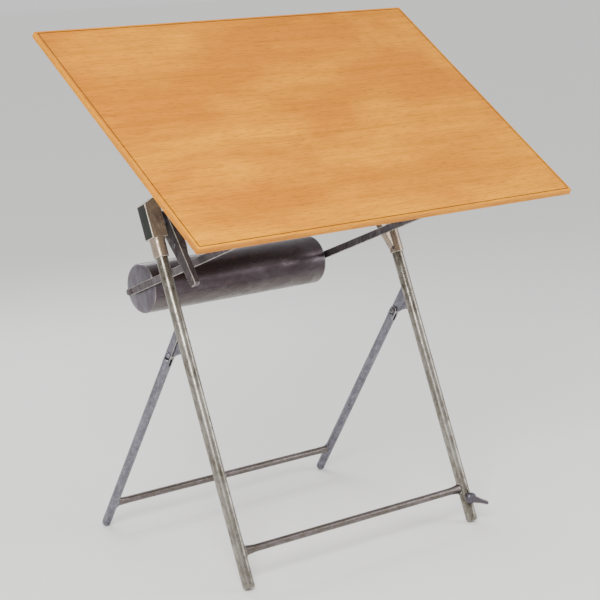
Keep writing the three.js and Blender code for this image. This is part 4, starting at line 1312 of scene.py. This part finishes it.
class DRAFTING_OT_drum(bpy.types.Operator):
    """Makes the counterweight drum: shell with its seam, and two end caps"""
    bl_idname = "drafting.drum"
    bl_label = "Counterweight Drum"

    def shell(self, end):
        """The rolled shell, painted pale where it faces the floor: a painted reflection of the floor."""
        outer, inner = DRUM_RADIUS, DRUM_RADIUS - DRUM_WALL
        shape = along_x(turned([
            (inner, -end), (outer - 0.5, -end), (outer, -end + 0.5), (outer, end - 0.5),
            (outer - 0.5, end), (inner, end), (inner, -end),
        ], 96))
        shape.normal_update()
        layer = wear_and_painted_light_layer(shape)
        # Faces that look down are painted paler: a painted reflection of the bright floor.
        for face in shape.faces:
            down = -(BOARD.to_3x3() @ face.normal).normalized().z
            face[layer] = FLOOR_REFLECTION_SHARE * min(max((down - 0.15) / 0.6, 0), 1)
        return shape

    def cap(self, inner):
        """A crowned cap with a plug inside the shell, with a painted highlight along the joint."""
        rim_centre = (DRUM_RADIUS - CAP_ROUND, DRUM_HALF - CAP_CROWN - CAP_ROUND)
        rim = arc(rim_centre, CAP_ROUND, 0, 72, 12)
        crown = [
            (DRUM_RADIUS * share, DRUM_HALF - CAP_CROWN * share ** 3)
            for share in (0.84, 0.72, 0.6, 0.45, 0.3, 0.15, 0)
        ]
        plug = DRUM_RADIUS - DRUM_WALL - GAP
        shape = turned([
            (0, inner - 8), (plug, inner - 8), (plug, inner), (DRUM_RADIUS - 0.7, inner),
            (DRUM_RADIUS, inner + 0.7), *rim[1:], *crown,
        ], 96)
        layer = wear_and_painted_light_layer(shape)
        # Faces along the joint get a painted highlight on the cap's rim.
        for face in shape.faces:
            middle = face.calc_center_median()
            if inner < middle.z < inner + 1.5 and middle.xy.length > DRUM_RADIUS - 1.2:
                face[layer] = 0.7
        return shape

    def execute(self, context):
        inner = DRUM_HALF - DRUM_CAP
        end = inner - GAP
        keep_node("drum_shell", moved(self.shell(end), 0, *DRUM_CENTRE), BOARD)
        seam_radius = DRUM_RADIUS - 1.2
        seam = weld_run((2 - end, 0, seam_radius), (end - 2, 0, seam_radius), 2)
        transformed(seam, Matrix.Rotation(math.radians(70), 4, "X"))
        keep("drum_seam", moved(seam, 0, *DRUM_CENTRE), BOARD, "board_frame", "drum_steel")
        for side, sign in SIDES:
            tools = [
                hole_across(radius + GAP, sign * DRUM_HALF, spot - DRUM_CENTRE)
                for radius, spot in (
                    (DRUM_BOLT_RADIUS, DRUM_BOLT), (DRUM_PIN_RADIUS, DRUM_PIN))
            ]
            cap = carve(along_x(self.cap(inner), sign), tools)
            keep_node(f"{side}_drum_cap", moved(cap, 0, *DRUM_CENTRE), BOARD, "cap_steel")
        frame["nodes"]["ballast_bar"].data.materials.clear()
        frame["nodes"]["ballast_bar"].data.materials.append(finish("head_iron"))
        return {"FINISHED"}


LEVER_OUT, LEVER_WIDE, LEVER_NARROW, SHEET = 375, 350, 358, 2.5
WASHER_RADIUS, WASHER_END = 16, 383.7


class DRAFTING_OT_shaft(bpy.types.Operator):
    """Makes the tilt shaft and the washer beside the lever"""
    bl_idname = "drafting.shaft"
    bl_label = "Tilt Shaft"

    def execute(self, context):
        shaft = rod(SHAFT_RADIUS, -SHAFT_END, SHAFT_END, 1.2, 48)
        keep_node("tilt_shaft", along_x(shaft), BOARD)
        washer = tube(WASHER_RADIUS, SHAFT_BORE, LEVER_OUT + GAP, WASHER_END, 0.8)
        keep_node("shaft_washer", along_x(washer, -1), LEVER)
        return {"FINISHED"}


LEVER_FRONT, LEVER_TIP, LEVER_TIP_BACK = -27, -213, -3
LEVER_FLARE = (-120, -87)
RIVET_AT = (-3, -80)


class DRAFTING_OT_lever(bpy.types.Operator):
    """Makes the tilt lock lever, a tapered channel, and its rivet"""
    bl_idname = "drafting.lever"
    bl_label = "Tilt Lock Lever"

    def outline(self):
        front, tip, back = LEVER_FRONT, LEVER_TIP, LEVER_TIP_BACK
        return [
            *arc((0, 0), -front, 0, 180, 16), (front, tip + 8),
            *arc((front + 8, tip + 8), 8, 180, 270, 6)[1:],
            (back - 3, tip + 0.8), (back, tip + 4), (22, -45)]

    def execute(self, context):
        body = soften(plate(self.outline(), -LEVER_OUT, -LEVER_WIDE), 1.6, 3, 50)
        low, high = LEVER_FLARE
        taper = slab([
            (-LEVER_NARROW, LEVER_TIP - 20), (-LEVER_WIDE + 20, LEVER_TIP - 20),
            (-LEVER_WIDE + 20, high), (-LEVER_WIDE, high), (-LEVER_NARROW, low)], 60)
        pocket = slab([
            (-LEVER_OUT + SHEET, LEVER_TIP + SHEET), (-LEVER_NARROW - SHEET, LEVER_TIP + SHEET),
            (-LEVER_NARROW - SHEET, low), (-LEVER_WIDE - SHEET, high),
            (-LEVER_WIDE - SHEET, 60), (-LEVER_OUT + SHEET, 60)], 50)
        moved(pocket, y=LEVER_FRONT + SHEET + 50)
        body = carve(body, [taper, pocket])
        x = -(LEVER_OUT + LEVER_WIDE) / 2
        body = carve(body, [
            hole_across(SHAFT_BORE, x, steps=40), hole_across(BOLT_RADIUS + GAP, x, RIVET_AT)])
        keep_node("tilt_lever", body, LEVER)
        rivet = turned([
            (0, LEVER_WIDE - 3), (5.5, LEVER_WIDE - 2.6), (7, LEVER_WIDE - GAP),
            (BOLT_RADIUS, LEVER_WIDE - GAP), (BOLT_RADIUS, LEVER_OUT + GAP),
            (6.9, LEVER_OUT + GAP), (6, LEVER_OUT + 1.8), (3.5, LEVER_OUT + 2.8),
            (0, LEVER_OUT + 3),
        ], 32)
        keep_node("lever_rivet", moved(along_x(rivet, -1), 0, *RIVET_AT), LEVER)
        return {"FINISHED"}


# Stage.

CAMERA_TARGET = Vector((0.8, -6.4, 692)) * MM
CAMERA_DISTANCE = 5114 * MM
CAMERA_AZIMUTH = math.radians(-37.88)
CAMERA_ELEVATION = math.radians(11.95)
CAMERA_ROLL = math.radians(-1.57)
CAMERA_LENS = 107.5
FLOOR_COLOUR, SKY_COLOUR, SKY_STRENGTH = "#FBFAF8", "#FFFFFF", 0.85
LIT_POINT = Vector((0, 0, 0.8))
# Soft window-like panels: name, place and size in metres, and power in watts.
LIGHTS = (
    ("key_light", (-2.6, -2.4, 3.0), (1.4, 2.2), 170),
    ("fill_light", (2.8, -2.2, 1.8), (1.6, 2.2), 45),
    ("back_light", (0.6, 3.0, 2.6), (2.4, 1.4), 50),
)


class DRAFTING_OT_stage(bpy.types.Operator):
    """Makes the floor, the lights and the camera"""
    bl_idname = "drafting.stage"
    bl_label = "Stage"

    def light(self, name, place, size, power):
        data = bpy.data.lights.new(name, "AREA")
        data.shape = "RECTANGLE"
        data.size, data.size_y = size
        data.energy = power
        lamp = bpy.data.objects.new(name, data)
        lamp.location = place
        lamp.rotation_euler = (LIT_POINT - Vector(place)).to_track_quat("-Z", "Y").to_euler()
        bpy.context.scene.collection.objects.link(lamp)

    def camera(self):
        cos_up = math.cos(CAMERA_ELEVATION)
        back = Vector((
            math.sin(CAMERA_AZIMUTH) * cos_up, -math.cos(CAMERA_AZIMUTH) * cos_up,
            math.sin(CAMERA_ELEVATION)))
        right = Vector((math.cos(CAMERA_AZIMUTH), math.sin(CAMERA_AZIMUTH), 0))
        up = back.cross(right)
        roll = Matrix.Rotation(CAMERA_ROLL, 3, back)
        axes = Matrix((roll @ right, roll @ up, back)).transposed()
        data = bpy.data.cameras.new("camera")
        data.sensor_width = 36
        data.lens = CAMERA_LENS
        camera = bpy.data.objects.new("camera", data)
        place = CAMERA_TARGET + back * CAMERA_DISTANCE
        camera.matrix_world = Matrix.Translation(place) @ axes.to_4x4()
        bpy.context.scene.collection.objects.link(camera)
        bpy.context.scene.camera = camera

    def execute(self, context):
        bm = bmesh.new()
        bmesh.ops.create_grid(bm, x_segments=1, y_segments=1, size=30)
        floor = new_object(bm, "floor")
        material, _, shader, _ = start_material("pale_studio_floor")
        shader.inputs["Base Color"].default_value = (*linear(FLOOR_COLOUR), 1)
        shader.inputs["Roughness"].default_value = 0.9
        floor.data.materials.append(material)
        world = bpy.data.worlds.new("pale_studio")
        world.use_nodes = True
        sky = world.node_tree.nodes["Background"]
        sky.inputs["Color"].default_value = (*linear(SKY_COLOUR), 1)
        sky.inputs["Strength"].default_value = SKY_STRENGTH
        bpy.context.scene.world = world
        for light in LIGHTS:
            self.light(*light)
        self.camera()
        return {"FINISHED"}


class DRAFTING_PT_panel(bpy.types.Panel):
    """Lists the table's pieces, sizes and colours"""
    bl_label = "Drafting Table"
    bl_idname = "DRAFTING_PT_panel"
    bl_space_type = "VIEW_3D"
    bl_region_type = "UI"
    bl_category = "Drafting Table"

    def draw(self, context):
        for operator in OPERATORS:
            self.layout.operator(operator.bl_idname)
        for settings in (sizes(), colours()):
            for name in settings.bl_rna.properties.keys():
                if name not in ("rna_type", "name"):
                    self.layout.prop(settings, name)


OPERATORS = (
    DRAFTING_OT_stage, DRAFTING_OT_board, DRAFTING_OT_battens, DRAFTING_OT_brackets,
    DRAFTING_OT_arms, DRAFTING_OT_drum, DRAFTING_OT_shaft, DRAFTING_OT_lever, DRAFTING_OT_heads,
    DRAFTING_OT_front_legs, DRAFTING_OT_crossbars, DRAFTING_OT_feet,
    DRAFTING_OT_levelling_screw, DRAFTING_OT_hinges, DRAFTING_OT_rear_legs,
)
CLASSES = (DraftingTableColours, DraftingTableSizes, *OPERATORS, DRAFTING_PT_panel)


def register():
    for item in CLASSES:
        bpy.utils.register_class(item)
    bpy.types.Scene.drafting_table_colours = PointerProperty(type=DraftingTableColours)
    bpy.types.Scene.drafting_table_sizes = PointerProperty(type=DraftingTableSizes)


def unregister():
    del bpy.types.Scene.drafting_table_colours
    del bpy.types.Scene.drafting_table_sizes
    for item in reversed(CLASSES):
        bpy.utils.unregister_class(item)


def main():
    register()
    for operator in OPERATORS:
        group, name = operator.bl_idname.split(".")
        getattr(getattr(bpy.ops, group), name)()


if __name__ == "__main__":
    main()
